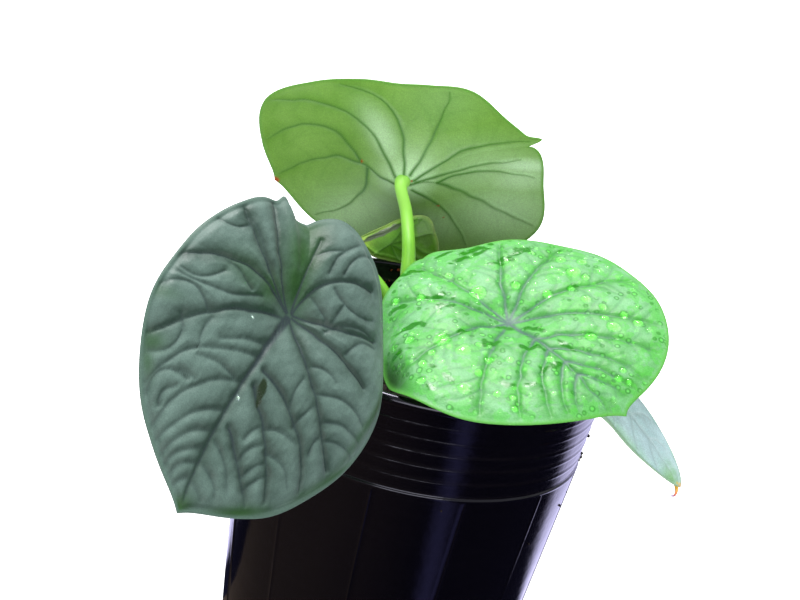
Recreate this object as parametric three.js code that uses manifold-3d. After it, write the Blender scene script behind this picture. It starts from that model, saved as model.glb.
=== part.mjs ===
// Potted alocasia chaii: a five-leaved jewel alocasia in a black plastic nursery pot.
// Millimetres, +Z up. The origin is the centre of the pot's flat underside, on the surface it stands on.
import * as THREE from "three";
import { mergeVertices } from "three/addons/utils/BufferGeometryUtils.js";
import Module from "manifold-3d";

// Driving dimensions of the pot
const POT_HEIGHT = 116;
const RIM_RADIUS = 64;
const COLLAR_RADIUS = 59.8;
const LEDGE_HEIGHT = 87;
const LEDGE_RADIUS = 57.4;
const SHOULDER_RADIUS = 57.8;
const FOOT_RADIUS = 48.5;
const WALL = 1.3;
const FLOOR = 1.8;
const LIP_HEIGHT = 4;
const RING_COUNT = 6;
const RING_PROUD = 0.8;
const DRAIN_COUNT = 8;
const DRAIN_RADIUS = 3.5;
const DRAIN_CIRCLE = 36;
const POT_SIDES = 40;

// Driving dimensions of the soil and the crown
const CLEARANCE = 0.3;
const SOIL_LEVEL = 100;
const SOIL_MOUND = 3;
const SOIL_CRUMB = 0.9;
const SOIL_SIDES = 40;
const SOIL_RINGS = 8;
const CROWN_X = -2;
const CROWN_Y = 6;
const CROWN_FOOT = 72;
const CROWN_TOP = 112;
const CROWN_RADIUS = 9;
const CROWN_SIDES = 16;

// Driving dimensions of the leaves and their stems
const BLADE_THICKNESS = 1;
const RIB_WIDTH = 2;
const RIB_REACH = 3.4;
const TIP_WIDTH = 4;
const STEM_SIDES = 8;
const STEM_STEPS = 14;

// Colours and finishes as the eye sees them
const FINISH = {
  plastic: { color: 0x14141a, roughness: 0.3, metalness: 0 },
  soil: { color: 0x2c1d14, roughness: 0.95, metalness: 0 },
  crown: { color: 0x6f6a3c, roughness: 0.7, metalness: 0 },
  stem: { color: 0x9fd65a, roughness: 0.45, metalness: 0 },
  darkBlade: { color: 0x5f7a72, roughness: 0.5, metalness: 0 },
  paleBlade: { color: 0x78aa5a, roughness: 0.5, metalness: 0 },
  wetBlade: { color: 0x6fe06a, roughness: 0.35, metalness: 0 },
  silverBlade: { color: 0xb4c8be, roughness: 0.5, metalness: 0 },
};

// One entry for each leaf.
// at: where the stem meets the blade's upper face.
// faces: azimuth and elevation of that face, with azimuth 0 towards -Y.
// heading: the tip's direction within the blade's plane.
// radii: the margin's distance from the stem every 20 degrees, from the back of the blade round past the tip.
// oval, for a slender blade: tip length, back length, and each side's half width and point exponent.
// tip, notch and corner: the drip tip, the cleft between the back lobes, and the sharp lobe corner beside it.
// funnel, edge, cleft, curls, wave and cup: how the blade is dished, rolled down, channelled and waved.
// rays: the angles of the veins from the stem.
// laterals: veins off the midrib, as a share of its length and the angle at which they end.
// relief: rib depth, puff between the ribs, and the ripple on it with its pitch.
// stem: the angle at which it leaves the crown, the points it passes, and how straight it meets the blade.
const LEAVES = {
  left: {
    finish: "darkBlade",
    at: [-41.5, -84, 141],
    faces: [37, 35],
    heading: -129,
    radii: [36.5, 31.5, 34.5, 34.5, 35.5, 38, 43.5, 48.5, 55.5, 62.5, 58.5, 51, 46, 41, 36, 33.5, 33, 34],
    tip: { angle: 0, length: 4.5 },
    notch: { angle: -166, depth: 2.5, width: 8 },
    corner: { angle: -148, height: 2.5, width: 6 },
    funnel: { depth: 4.5, radius: 11 },
    edge: 3.5,
    cleft: { angle: -156, width: 24, depth: 6 },
    curls: [
      { angle: 95, width: 46, depth: 4.5 },
      { angle: 60, width: 29, depth: 2 },
    ],
    wave: { height: 1, count: 5, phase: 0.6 },
    cup: [0, 0],
    rays: [-49, -86, -106, -124, -142, -176, 150, 112, 80, 47],
    laterals: [
      [0.27, 33],
      [0.36, 21],
      [0.55, 15],
      [0.67, 10.5],
      [0.3, -33],
      [0.38, -20],
      [0.55, -15],
      [0.67, -12],
    ],
    relief: { rib: 0.9, puff: 1.1, ripple: 0.45, pitch: 8 },
    cells: 26,
    stem: {
      exit: 240,
      via: [
        [-20, -17, 118],
        [-37, -50, 129.5],
      ],
      reach: 9,
      radii: [3.4, 2.1],
    },
  },
  back: {
    finish: "paleBlade",
    at: [-20.5, 41.5, 151],
    faces: [178, 19],
    heading: -26,
    radii: [47.3, 47.5, 51, 46, 40.5, 39.5, 38, 39, 42, 45.5, 51.5, 54, 45, 37, 32, 33.5, 39.5, 41.5],
    tip: { angle: 0, length: 1.5 },
    notch: { angle: 177.5, depth: 7, width: 1.8 },
    corner: { angle: 171, height: 3.5, width: 5 },
    funnel: { depth: 11.5, radius: 16 },
    edge: 2,
    cleft: { angle: 180, width: 20, depth: 4 },
    curls: [{ angle: 0, width: 29, depth: 2 }],
    wave: { height: 1.5, count: 4, phase: 0.5 },
    cup: [0, 0],
    rays: [-50, -88, -124, -157, 177, 150, 114, 76, 45],
    laterals: [
      [0.28, 22],
      [0.45, 14],
      [0.24, -26],
      [0.4, -17],
    ],
    relief: { rib: 0.6, puff: 0.5, ripple: 0.15, pitch: 9 },
    cells: 24,
    stem: {
      exit: 105,
      via: [
        [-11.5, 13, 122.5],
        [-14.5, 22, 133.5],
        [-17.3, 33, 142.5],
      ],
      reach: 4,
      radii: [3.2, 1.9],
    },
  },
  right: {
    finish: "wetBlade",
    at: [22, -33, 135.5],
    faces: [-22, 66],
    heading: -25,
    radii: [43.5, 39.5, 40.5, 39.5, 42, 45.5, 46, 44.5, 45, 46, 48.5, 49, 47.5, 45, 44, 39.5, 37, 37],
    tip: { angle: 4.5, length: 3.9 },
    notch: { angle: -178, depth: 1.5, width: 6 },
    corner: { angle: 175, height: 0.5, width: 5 },
    funnel: { depth: 4.5, radius: 11 },
    edge: 2.5,
    cleft: { angle: 180, width: 17, depth: 3.5 },
    curls: [
      { angle: -125, width: 26, depth: 7 },
      { angle: 0, width: 20, depth: 4 },
    ],
    wave: { height: 1, count: 5, phase: 2 },
    cup: [0, 0],
    rays: [-50, -89, -138, -168, 146, 114, 78, 50],
    laterals: [
      [0.27, 36],
      [0.4, 22],
      [0.55, 15],
      [0.27, -34],
      [0.4, -22],
      [0.55, -15],
    ],
    relief: { rib: 0.8, puff: 0.9, ripple: 0.35, pitch: 8 },
    cells: 26,
    stem: {
      exit: 300,
      via: [
        [11, -15, 118],
        [20.5, -26, 124],
      ],
      reach: 7,
      radii: [3.3, 2.1],
    },
  },
  hanging: {
    finish: "silverBlade",
    at: [57, -36.5, 122.3],
    faces: [55, 43],
    heading: -61,
    oval: { tip: 40.5, back: 12, half: [9.6, 11.7], point: [2.2, 1.4] },
    tip: { angle: 0, length: 0.5 },
    notch: { angle: 180, depth: 2, width: 6 },
    corner: { angle: 165, height: 0, width: 5 },
    funnel: { depth: 2, radius: 6 },
    edge: 1.5,
    cleft: { angle: 180, width: 23, depth: 1.5 },
    curls: [],
    wave: { height: 0.5, count: 4, phase: 0 },
    cup: [0, 0],
    rays: [-55, -100, -150, 55, 100, 150],
    laterals: [
      [0.25, 22],
      [0.5, 9],
      [0.25, -22],
      [0.5, -9],
    ],
    relief: { rib: 0.4, puff: 0.4, ripple: 0, pitch: 8 },
    cells: 14,
    stem: {
      exit: 350,
      via: [
        [22, -4, 119],
        [42, -21, 123.5],
      ],
      reach: 3,
      radii: [2.8, 1.5],
    },
  },
  young: {
    finish: "paleBlade",
    at: [-28, 31, 130],
    faces: [195, -10],
    heading: 157,
    oval: { tip: 21, back: 4, half: [9, 6], point: [2, 2] },
    tip: { angle: 0, length: 2 },
    notch: { angle: 180, depth: 1, width: 6 },
    corner: { angle: 165, height: 0, width: 5 },
    funnel: { depth: 0.5, radius: 4 },
    edge: 0,
    cleft: { angle: 180, width: 20, depth: 0 },
    curls: [],
    wave: { height: 0.3, count: 4, phase: 0 },
    cup: [0.02, 0.08],
    rays: [-70, 60, 105],
    laterals: [
      [0.4, 30],
      [0.4, -25],
    ],
    relief: { rib: 0.25, puff: 0.3, ripple: 0, pitch: 8 },
    cells: 10,
    stem: {
      exit: 168,
      via: [
        [-16.7, 11.7, 120.5],
        [-24.5, 20, 128],
      ],
      reach: 4,
      radii: [2.6, 1.5],
    },
  },
};

const wasm = await Module();
wasm.setup();

const radians = THREE.MathUtils.degToRad;
const bell = (value, width) => Math.exp(-((value / width) ** 2));

// The difference of two angles, brought into -180 to 180 degrees, in radians.
function turn(a, b) {
  return THREE.MathUtils.euclideanModulo(a - b + Math.PI, 2 * Math.PI) - Math.PI;
}

// A closed mesh from points and triangles.
function meshGeometry(points, triangles) {
  const geometry = new THREE.BufferGeometry();
  geometry.setAttribute("position", new THREE.Float32BufferAttribute(points.flat(), 3));
  geometry.setIndex(triangles.flat());
  return geometry;
}

// The same body as a manifold solid, for joins and cuts.
function solidOf(geometry) {
  const bare = geometry.clone();
  bare.deleteAttribute("normal");
  bare.deleteAttribute("uv");
  const merged = mergeVertices(bare, 1e-3);
  return new wasm.Manifold(
    new wasm.Mesh({
      numProp: 3,
      vertProperties: new Float32Array(merged.attributes.position.array),
      triVerts: new Uint32Array(merged.index.array),
    }),
  );
}

// A manifold solid back as a three.js geometry.
function geometryOf(solid) {
  const made = solid.getMesh();
  const geometry = new THREE.BufferGeometry();
  geometry.setAttribute("position", new THREE.BufferAttribute(new Float32Array(made.vertProperties), 3));
  geometry.setIndex(new THREE.BufferAttribute(new Uint32Array(made.triVerts), 1));
  return geometry;
}

// A body turned about +Z from an outline of [radius, height] that starts and ends on the axis, bottom first.
function turned(outline, sides) {
  const points = outline.map(([radius, height]) => new THREE.Vector2(radius, height));
  return new THREE.LatheGeometry(points, sides).rotateX(Math.PI / 2);
}

// Radius of the pot's plain outer wall at a height.
function wallRadius(height) {
  return THREE.MathUtils.mapLinear(height, 0, LEDGE_HEIGHT, FOOT_RADIUS, SHOULDER_RADIUS);
}

// The pot: flat foot, tapered wall, a collar with shallow rings, a rolled lip, and drain holes in the floor.
function potGeometry() {
  const collarTop = POT_HEIGHT - LIP_HEIGHT;
  const pitch = (collarTop - LEDGE_HEIGHT) / RING_COUNT;
  const outline = [
    [0, 0],
    [FOOT_RADIUS - 1, 0],
    [FOOT_RADIUS, 1],
    [SHOULDER_RADIUS, LEDGE_HEIGHT - 1],
    [LEDGE_RADIUS + RING_PROUD, LEDGE_HEIGHT],
  ];
  for (let ring = 0; ring < RING_COUNT; ring += 1) {
    const base = THREE.MathUtils.lerp(LEDGE_RADIUS, COLLAR_RADIUS, ring / RING_COUNT);
    const foot = LEDGE_HEIGHT + ring * pitch;
    outline.push([base, foot + 0.62 * pitch]);
    outline.push([base + RING_PROUD, foot + pitch]);
  }
  const lipMiddle = POT_HEIGHT - LIP_HEIGHT / 2;
  outline.push([RIM_RADIUS - 0.5, collarTop + 0.4]);
  outline.push([RIM_RADIUS, lipMiddle]);
  outline.push([RIM_RADIUS - 0.6, POT_HEIGHT - 0.5]);
  outline.push([RIM_RADIUS - 1.7, POT_HEIGHT]);
  outline.push([RIM_RADIUS - 2.8, POT_HEIGHT - 0.6]);
  outline.push([COLLAR_RADIUS - WALL, collarTop - 1]);
  outline.push([LEDGE_RADIUS - WALL, LEDGE_HEIGHT + 1]);
  outline.push([SHOULDER_RADIUS - WALL, LEDGE_HEIGHT - 2]);
  outline.push([wallRadius(FLOOR) - WALL, FLOOR]);
  outline.push([0, FLOOR]);
  let pot = solidOf(turned(outline, POT_SIDES));
  for (let hole = 0; hole < DRAIN_COUNT; hole += 1) {
    const angle = (hole * 2 * Math.PI) / DRAIN_COUNT;
    const drill = new THREE.CylinderGeometry(DRAIN_RADIUS, DRAIN_RADIUS, 4 * FLOOR, 12).rotateX(Math.PI / 2);
    drill.translate(DRAIN_CIRCLE * Math.cos(angle), DRAIN_CIRCLE * Math.sin(angle), FLOOR / 2);
    pot = pot.subtract(solidOf(drill));
  }
  return geometryOf(pot);
}

// Height of the soil's crumbly top: a low mound at the crown, and lumps from three crossed waves.
function soilHeight(x, y) {
  const mound = SOIL_MOUND * bell(Math.hypot(x - CROWN_X, y - CROWN_Y), 22);
  const lumps = Math.sin(0.31 * x + 1.1) * Math.cos(0.27 * y) + 0.7 * Math.sin(0.53 * y - 0.41 * x);
  const crumbs = 0.5 * Math.sin(0.9 * x + 0.8 * y) * Math.cos(0.85 * x - 0.7 * y + 2);
  return SOIL_LEVEL + mound + SOIL_CRUMB * (lumps + crumbs);
}

// The soil: it fills the pot, clear of the wall by the clearance, and has a plain hole for the crown.
function soilGeometry(crownHole) {
  const inner = (height) => wallRadius(height) - WALL - CLEARANCE;
  const side = [
    [inner(FLOOR), FLOOR + CLEARANCE],
    [inner(LEDGE_HEIGHT - 3), LEDGE_HEIGHT - 3],
    [LEDGE_RADIUS - WALL - 2 * CLEARANCE, LEDGE_HEIGHT + 2],
  ];
  const edge = LEDGE_RADIUS - WALL - CLEARANCE;
  const points = [[0, 0, FLOOR + CLEARANCE]];
  const triangles = [];
  const ringPoint = (radius, sector) => {
    const angle = (sector * 2 * Math.PI) / SOIL_SIDES;
    return [radius * Math.cos(angle), radius * Math.sin(angle)];
  };
  for (const [radius, height] of side) {
    for (let sector = 0; sector < SOIL_SIDES; sector += 1) points.push([...ringPoint(radius, sector), height]);
  }
  for (let ring = SOIL_RINGS; ring > 0; ring -= 1) {
    for (let sector = 0; sector < SOIL_SIDES; sector += 1) {
      const [x, y] = ringPoint((edge * ring) / SOIL_RINGS, sector);
      points.push([x, y, soilHeight(x, y)]);
    }
  }
  points.push([0, 0, soilHeight(0, 0)]);
  const top = points.length - 1;
  const bands = side.length + SOIL_RINGS - 1;
  const at = (band, sector) => 1 + band * SOIL_SIDES + (sector % SOIL_SIDES);
  for (let sector = 0; sector < SOIL_SIDES; sector += 1) {
    triangles.push([0, at(0, sector + 1), at(0, sector)]);
    for (let band = 0; band < bands; band += 1) {
      triangles.push([at(band, sector), at(band, sector + 1), at(band + 1, sector + 1)]);
      triangles.push([at(band, sector), at(band + 1, sector + 1), at(band + 1, sector)]);
    }
    triangles.push([at(bands, sector), at(bands, sector + 1), top]);
  }
  return geometryOf(solidOf(meshGeometry(points, triangles)).subtract(crownHole));
}

// The crown: a short ringed rhizome that stands in the soil. grow widens it on every side, for clearance cuts.
function crownGeometry(grow) {
  const outline = [[0, CROWN_FOOT - grow]];
  const steps = 10;
  for (let step = 0; step <= steps; step += 1) {
    const share = step / steps;
    const height = THREE.MathUtils.lerp(CROWN_FOOT + 1, CROWN_TOP - 1, share);
    const body = CROWN_RADIUS * (1 - 0.9 * Math.abs(share - 0.55) ** 2.2 * 2.4);
    const scar = step % 2 ? 0.3 : -0.3;
    outline.push([body + scar + grow, height + grow * (2 * share - 1)]);
  }
  outline.push([0, CROWN_TOP + grow]);
  return turned(outline, CROWN_SIDES).translate(CROWN_X, CROWN_Y, 0);
}

// A leaf's axes: along to the tip, across to the left, and up out of its upper face.
function leafAxes(leaf) {
  const azimuth = radians(leaf.faces[0]);
  const elevation = radians(leaf.faces[1]);
  const heading = radians(leaf.heading);
  const up = new THREE.Vector3(
    Math.cos(elevation) * Math.sin(azimuth),
    -Math.cos(elevation) * Math.cos(azimuth),
    Math.sin(elevation),
  );
  const level = new THREE.Vector3(Math.cos(azimuth), Math.sin(azimuth), 0);
  const slope = new THREE.Vector3().crossVectors(up, level);
  const along = level.multiplyScalar(Math.cos(heading)).addScaledVector(slope, Math.sin(heading));
  const across = new THREE.Vector3().crossVectors(up, along);
  return { along, across, up };
}

// Radius of a slender blade's margin: a superellipse, sharper towards the tip.
function ovalRadius(oval, angle) {
  const forward = Math.cos(angle) > 0;
  const length = forward ? oval.tip : oval.back;
  const side = Math.sin(angle) > 0 ? 0 : 1;
  const half = oval.half[side];
  const power = forward ? oval.point[side] : 2;
  const sum = Math.abs(Math.cos(angle) / length) ** power + Math.abs(Math.sin(angle) / half) ** power;
  return sum ** (-1 / power);
}

// Radius of a broad blade's margin: a smooth closed curve through the radii.
function splineRadius(radii, angle) {
  const place = ((angle + Math.PI) / (2 * Math.PI)) * radii.length;
  const first = Math.floor(place);
  const share = place - first;
  const pick = (step) => radii[THREE.MathUtils.euclideanModulo(first + step, radii.length)];
  const [a, b, c, d] = [pick(-1), pick(0), pick(1), pick(2)];
  const cubic = -a + 3 * b - 3 * c + d;
  return 0.5 * (2 * b + (c - a) * share + (2 * a - 5 * b + 4 * c - d) * share ** 2 + cubic * share ** 3);
}

// Distance from the stem to the margin in one direction: the body, a drip tip, a cleft, and a lobe's corner by it.
function marginRadius(leaf, angle) {
  const away = (degrees) => Math.abs(turn(angle, radians(degrees)));
  const body = leaf.oval ? ovalRadius(leaf.oval, angle) : splineRadius(leaf.radii, angle);
  const tip = leaf.tip.length * Math.exp(-away(leaf.tip.angle) / radians(TIP_WIDTH));
  const notch = leaf.notch.depth * Math.exp(-away(leaf.notch.angle) / radians(leaf.notch.width));
  const corner = leaf.corner.height * bell(away(leaf.corner.angle), radians(leaf.corner.width));
  return body + tip - notch + corner;
}

// The veins as short polylines in the blade's plane: midrib, rays from the stem, and laterals off the midrib.
function veinLines(leaf) {
  const steps = 10;
  const bezier = (start, middle, end) =>
    Array.from({ length: steps + 1 }, (_, step) => {
      const t = step / steps;
      const weight = [(1 - t) ** 2, 2 * t * (1 - t), t ** 2];
      return [0, 1].map((axis) => weight[0] * start[axis] + weight[1] * middle[axis] + weight[2] * end[axis]);
    });
  const polar = (radius, angle) => [radius * Math.cos(angle), radius * Math.sin(angle)];
  const length = marginRadius(leaf, 0);
  const lines = [bezier([0, 0], [0.5 * length, 0], [0.97 * length, 0])];
  for (const degrees of leaf.rays) {
    const angle = radians(degrees);
    const bend = (Math.abs(degrees) < 150 ? 0.22 : 0.05) * Math.sin(angle);
    const radius = marginRadius(leaf, angle);
    lines.push(bezier([0, 0], polar(0.55 * radius, angle + bend), polar(0.94 * radius, angle)));
  }
  for (const [share, degrees] of leaf.laterals) {
    const start = [share * length, 0];
    const end = polar(0.95 * marginRadius(leaf, radians(degrees)), radians(degrees));
    const bow = 0.16 * Math.sign(degrees);
    const middle = [
      (start[0] + end[0]) / 2 - bow * (end[1] - start[1]),
      (start[1] + end[1]) / 2 + bow * (end[0] - start[0]),
    ];
    lines.push(bezier(start, middle, end));
  }
  return lines;
}

// The nearest vein to a point of the blade: how far off it lies, and how far along the vein that is.
function nearestVein(lines, x, y) {
  let best = { off: Infinity, along: 0 };
  for (const line of lines) {
    let travelled = 0;
    for (let i = 1; i < line.length; i += 1) {
      const [x0, y0] = line[i - 1];
      const [dx, dy] = [line[i][0] - x0, line[i][1] - y0];
      const size = Math.hypot(dx, dy);
      const share = THREE.MathUtils.clamp(((x - x0) * dx + (y - y0) * dy) / size ** 2, 0, 1);
      const off = Math.hypot(x - x0 - share * dx, y - y0 - share * dy);
      if (off < best.off) best = { off, along: travelled + share * size };
      travelled += size;
    }
  }
  return best;
}

// Height of the blade over its plane without its ribs, towards its upper face. s is 0 at the stem, 1 at the margin.
function bladeForm(leaf, radius, angle, s) {
  const across = radius * Math.sin(angle);
  const funnel = leaf.funnel.depth * (1 - bell(radius, leaf.funnel.radius));
  const lobe = (form) => form.depth * bell(turn(angle, radians(form.angle)), radians(form.width));
  const cleft = lobe(leaf.cleft) * s ** 1.5;
  const curl = leaf.curls.reduce((sum, roll) => sum + lobe(roll) * s ** 5, leaf.edge * s ** 4);
  const wave = leaf.wave.height * s ** 3 * Math.sin(leaf.wave.count * angle + leaf.wave.phase);
  const cup = leaf.cup[across > 0 ? 0 : 1] * across ** 2;
  return funnel - cleft - curl + wave + cup;
}

// The puffed, ribbed relief between the veins. It fades out at the stem and at the margin.
function bladeRelief(leaf, lines, x, y, s) {
  const { off, along } = nearestVein(lines, x, y);
  const between = 1 - bell(off, RIB_REACH);
  const ripple = Math.sin((2 * Math.PI * (along - 0.8 * off)) / leaf.relief.pitch);
  const puff = (leaf.relief.puff + leaf.relief.ripple * ripple) * between;
  const rib = leaf.relief.rib * bell(off, RIB_WIDTH);
  const fade = THREE.MathUtils.smoothstep(Math.hypot(x, y), 2, 8) * (1 - THREE.MathUtils.smoothstep(s, 0.9, 1));
  return (puff - rib) * fade;
}

// A blade: a square grid of cells mapped onto the leaf, both faces split alike and joined at the margin.
function bladeGeometry(leaf) {
  const { along, across, up } = leafAxes(leaf);
  const lines = veinLines(leaf);
  const row = leaf.cells + 1;
  const upper = [];
  const lower = [];
  for (let j = 0; j < row; j += 1) {
    for (let i = 0; i < row; i += 1) {
      const a = (2 * i) / leaf.cells - 1;
      const b = (2 * j) / leaf.cells - 1;
      const wide = Math.abs(a) > Math.abs(b);
      const s = Math.max(Math.abs(a), Math.abs(b));
      const sector = wide ? (Math.PI / 4) * (b / a) : Math.PI / 2 - (Math.PI / 4) * (b ? a / b : 0);
      const angle = turn(sector + ((wide ? a : b) < 0 ? Math.PI : 0), 0);
      const radius = s * marginRadius(leaf, angle);
      const x = radius * Math.cos(angle);
      const y = radius * Math.sin(angle);
      const z = bladeForm(leaf, radius, angle, s) + bladeRelief(leaf, lines, x, y, s);
      const point = new THREE.Vector3(...leaf.at).addScaledVector(along, x).addScaledVector(across, y);
      upper.push(point.clone().addScaledVector(up, z).toArray());
      lower.push(point.clone().addScaledVector(up, z - BLADE_THICKNESS).toArray());
    }
  }
  const triangles = [];
  const under = upper.length;
  for (let j = 0; j < leaf.cells; j += 1) {
    for (let i = 0; i < leaf.cells; i += 1) {
      const [p, q, r, t] = [j * row + i, j * row + i + 1, (j + 1) * row + i + 1, (j + 1) * row + i];
      const rising = i < leaf.cells / 2 === j < leaf.cells / 2;
      const pair = rising
        ? [
            [p, q, r],
            [p, r, t],
          ]
        : [
            [p, q, t],
            [q, r, t],
          ];
      for (const [k, l, m] of pair) {
        triangles.push([k, l, m]);
        triangles.push([under + k, under + m, under + l]);
      }
    }
  }
  const wall = (p, q) => {
    triangles.push([p, under + q, q]);
    triangles.push([p, under + p, under + q]);
  };
  for (let k = 0; k < leaf.cells; k += 1) {
    wall(k, k + 1);
    wall(row * leaf.cells + k + 1, row * leaf.cells + k);
    wall((k + 1) * row, k * row);
    wall(k * row + leaf.cells, (k + 1) * row + leaf.cells);
  }
  return meshGeometry([...upper, ...lower], triangles);
}

// A leaf stem: a round rod that tapers from the crown to the underside of its blade, cut clear of the crown.
function stemGeometry(leaf, crownHole) {
  const { up } = leafAxes(leaf);
  const leave = radians(leaf.stem.exit);
  const outOfCrown = (distance, height) =>
    new THREE.Vector3(CROWN_X + distance * Math.cos(leave), CROWN_Y + distance * Math.sin(leave), height);
  const blade = new THREE.Vector3(...leaf.at);
  const route = [
    outOfCrown(3, SOIL_LEVEL + 2),
    outOfCrown(8, SOIL_LEVEL + 9),
    ...leaf.stem.via.map((point) => new THREE.Vector3(...point)),
    blade.clone().addScaledVector(up, -leaf.stem.reach),
    blade.clone().addScaledVector(up, -BLADE_THICKNESS - CLEARANCE),
  ];
  const curve = new THREE.CatmullRomCurve3(route, false, "centripetal");
  const frames = curve.computeFrenetFrames(STEM_STEPS);
  const [baseRadius, topRadius] = leaf.stem.radii;
  const points = [];
  const triangles = [];
  for (let step = 0; step <= STEM_STEPS; step += 1) {
    const share = step / STEM_STEPS;
    const centre = curve.getPointAt(share);
    const radius = THREE.MathUtils.lerp(topRadius, baseRadius, (1 - share) ** 1.6);
    for (let side = 0; side < STEM_SIDES; side += 1) {
      const angle = (side * 2 * Math.PI) / STEM_SIDES;
      const point = centre.clone().addScaledVector(frames.normals[step], radius * Math.cos(angle));
      points.push(point.addScaledVector(frames.binormals[step], radius * Math.sin(angle)).toArray());
    }
  }
  const at = (step, side) => step * STEM_SIDES + (side % STEM_SIDES);
  points.push(curve.getPointAt(0).toArray());
  points.push(curve.getPointAt(1).toArray());
  for (let side = 0; side < STEM_SIDES; side += 1) {
    for (let step = 0; step < STEM_STEPS; step += 1) {
      triangles.push([at(step, side), at(step, side + 1), at(step + 1, side + 1)]);
      triangles.push([at(step, side), at(step + 1, side + 1), at(step + 1, side)]);
    }
    triangles.push([points.length - 2, at(0, side + 1), at(0, side)]);
    triangles.push([points.length - 1, at(STEM_STEPS, side), at(STEM_STEPS, side + 1)]);
  }
  return geometryOf(solidOf(meshGeometry(points, triangles)).subtract(crownHole));
}

// A named piece with its finish.
function piece(name, geometry, finish) {
  const mesh = new THREE.Mesh(geometry, new THREE.MeshStandardMaterial(FINISH[finish]));
  mesh.name = name;
  return mesh;
}

const crownHole = solidOf(crownGeometry(CLEARANCE));
const plant = new THREE.Group();
plant.add(piece("pot", potGeometry(), "plastic"));
plant.add(piece("soil", soilGeometry(crownHole), "soil"));
plant.add(piece("crown", crownGeometry(0), "crown"));
for (const [side, leaf] of Object.entries(LEAVES)) {
  plant.add(piece(`stem_${side}`, stemGeometry(leaf, crownHole), "stem"));
  plant.add(piece(`blade_${side}`, bladeGeometry(leaf), leaf.finish));
}

export default plant;
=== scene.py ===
"""Looks of a potted alocasia chaii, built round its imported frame.

Sizes are millimetres in the frame's own axes, and Form.mesh turns them into metres. Each sub-assembly is a
class that holds its sizes and has methods that build and dress its pieces.
"""

import logging
import math
from dataclasses import dataclass, field
from enum import Enum
from typing import Any, Sequence

import bmesh
import bpy
import numpy as np
from mathutils import Matrix, Vector


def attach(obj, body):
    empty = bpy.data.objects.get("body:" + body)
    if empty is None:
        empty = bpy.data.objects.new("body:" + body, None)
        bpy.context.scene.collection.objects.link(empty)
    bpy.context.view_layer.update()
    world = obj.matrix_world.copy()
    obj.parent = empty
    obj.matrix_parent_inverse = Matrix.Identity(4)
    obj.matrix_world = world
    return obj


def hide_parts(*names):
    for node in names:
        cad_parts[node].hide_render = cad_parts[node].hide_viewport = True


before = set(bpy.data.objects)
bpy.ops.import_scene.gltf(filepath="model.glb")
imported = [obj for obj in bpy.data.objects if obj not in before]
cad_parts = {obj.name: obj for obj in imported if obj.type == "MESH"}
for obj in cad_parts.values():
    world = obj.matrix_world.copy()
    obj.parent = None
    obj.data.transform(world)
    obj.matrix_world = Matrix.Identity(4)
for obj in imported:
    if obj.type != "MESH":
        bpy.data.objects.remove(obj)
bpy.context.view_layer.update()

LOG = logging.getLogger("potted_alocasia")
MM = 0.001
CROWN_PLACE = (-2.0, 6.0)
SOIL_LEVEL = 100.0
Array = np.ndarray
Color = tuple[float, float, float, float]
Point = tuple[float, float, float]
Crease = tuple[float, float, float, float, float]
Socket = Any


def eye(red: int, green: int, blue: int) -> Color:
    """A colour given as the eye sees it, 0 to 255 a channel, as the linear colour that a shader takes.

    Args:
        red: The red channel.
        green: The green channel.
        blue: The blue channel.

    Returns:
        Linear red, green, blue and an alpha of 1. A share c above 0.04045 becomes
        ((c + 0.055) / 1.055) ^ 2.4, and a lower one c / 12.92.
    """
    shares = np.array([red, green, blue]) / 255
    linear = np.where(shares > 0.04045, ((shares + 0.055) / 1.055) ** 2.4, shares / 12.92)
    return (*linear.tolist(), 1.0)


def bell(value: Array, width: float | Array) -> Array:
    """A bell curve, exp(-(value / width)^2)."""
    return np.exp(-((value / width) ** 2))


def smoothstep(value: Array, low: float, high: float) -> Array:
    """A smooth rise from 0 at low to 1 at high, 3t^2 - 2t^3 with t the share of the way."""
    share = np.clip((value - low) / (high - low), 0, 1)
    return share * share * (3 - 2 * share)


def turn(angle: Array, middle: float) -> Array:
    """The angle between a direction and a middle one, brought into -pi to pi, in radians."""
    return np.mod(angle - middle + np.pi, 2 * np.pi) - np.pi


def around(sides: int) -> Array:
    """Directions at even steps round a circle, in radians, as one row."""
    return np.linspace(0, 2 * np.pi, sides, endpoint=False)[None]


def ripples(x: Array, y: Array, length: float, seed: int, waves: int = 16) -> Array:
    """Soft random unevenness over a plane: a sum of plane waves in seeded random directions and phases.

    Args:
        x: First coordinate, in mm.
        y: Second coordinate, in mm.
        length: The typical wavelength, in mm.
        seed: Picks the directions, lengths and phases.
        waves: How many waves are added.

    Returns:
        Values of about -1 to 1: 0.6 sqrt(2 / waves) times the sum of sin(k . (x, y) + phase).
    """
    draw = np.random.default_rng(seed)
    total = np.zeros(np.broadcast(x, y).shape)
    for _ in range(waves):
        heading = draw.uniform(0, 2 * np.pi)
        pace = 2 * np.pi / (length * draw.uniform(0.7, 1.5))
        phase = draw.uniform(0, 2 * np.pi)
        total += np.sin(pace * (x * np.cos(heading) + y * np.sin(heading)) + phase)
    return total * np.sqrt(2 / waves) * 0.6


class Slot(Enum):
    """The record's material slots."""

    POT = "pot"
    SOIL = "soil"
    CROWN = "crown"
    STEM = "stem"
    GREY = "grey_blade"
    PALE = "pale_blade"
    WET = "wet_blade"
    SILVER = "silver_blade"


class Side(Enum):
    """The two faces of a leaf."""

    UPPER = 0
    UNDER = 1


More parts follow.
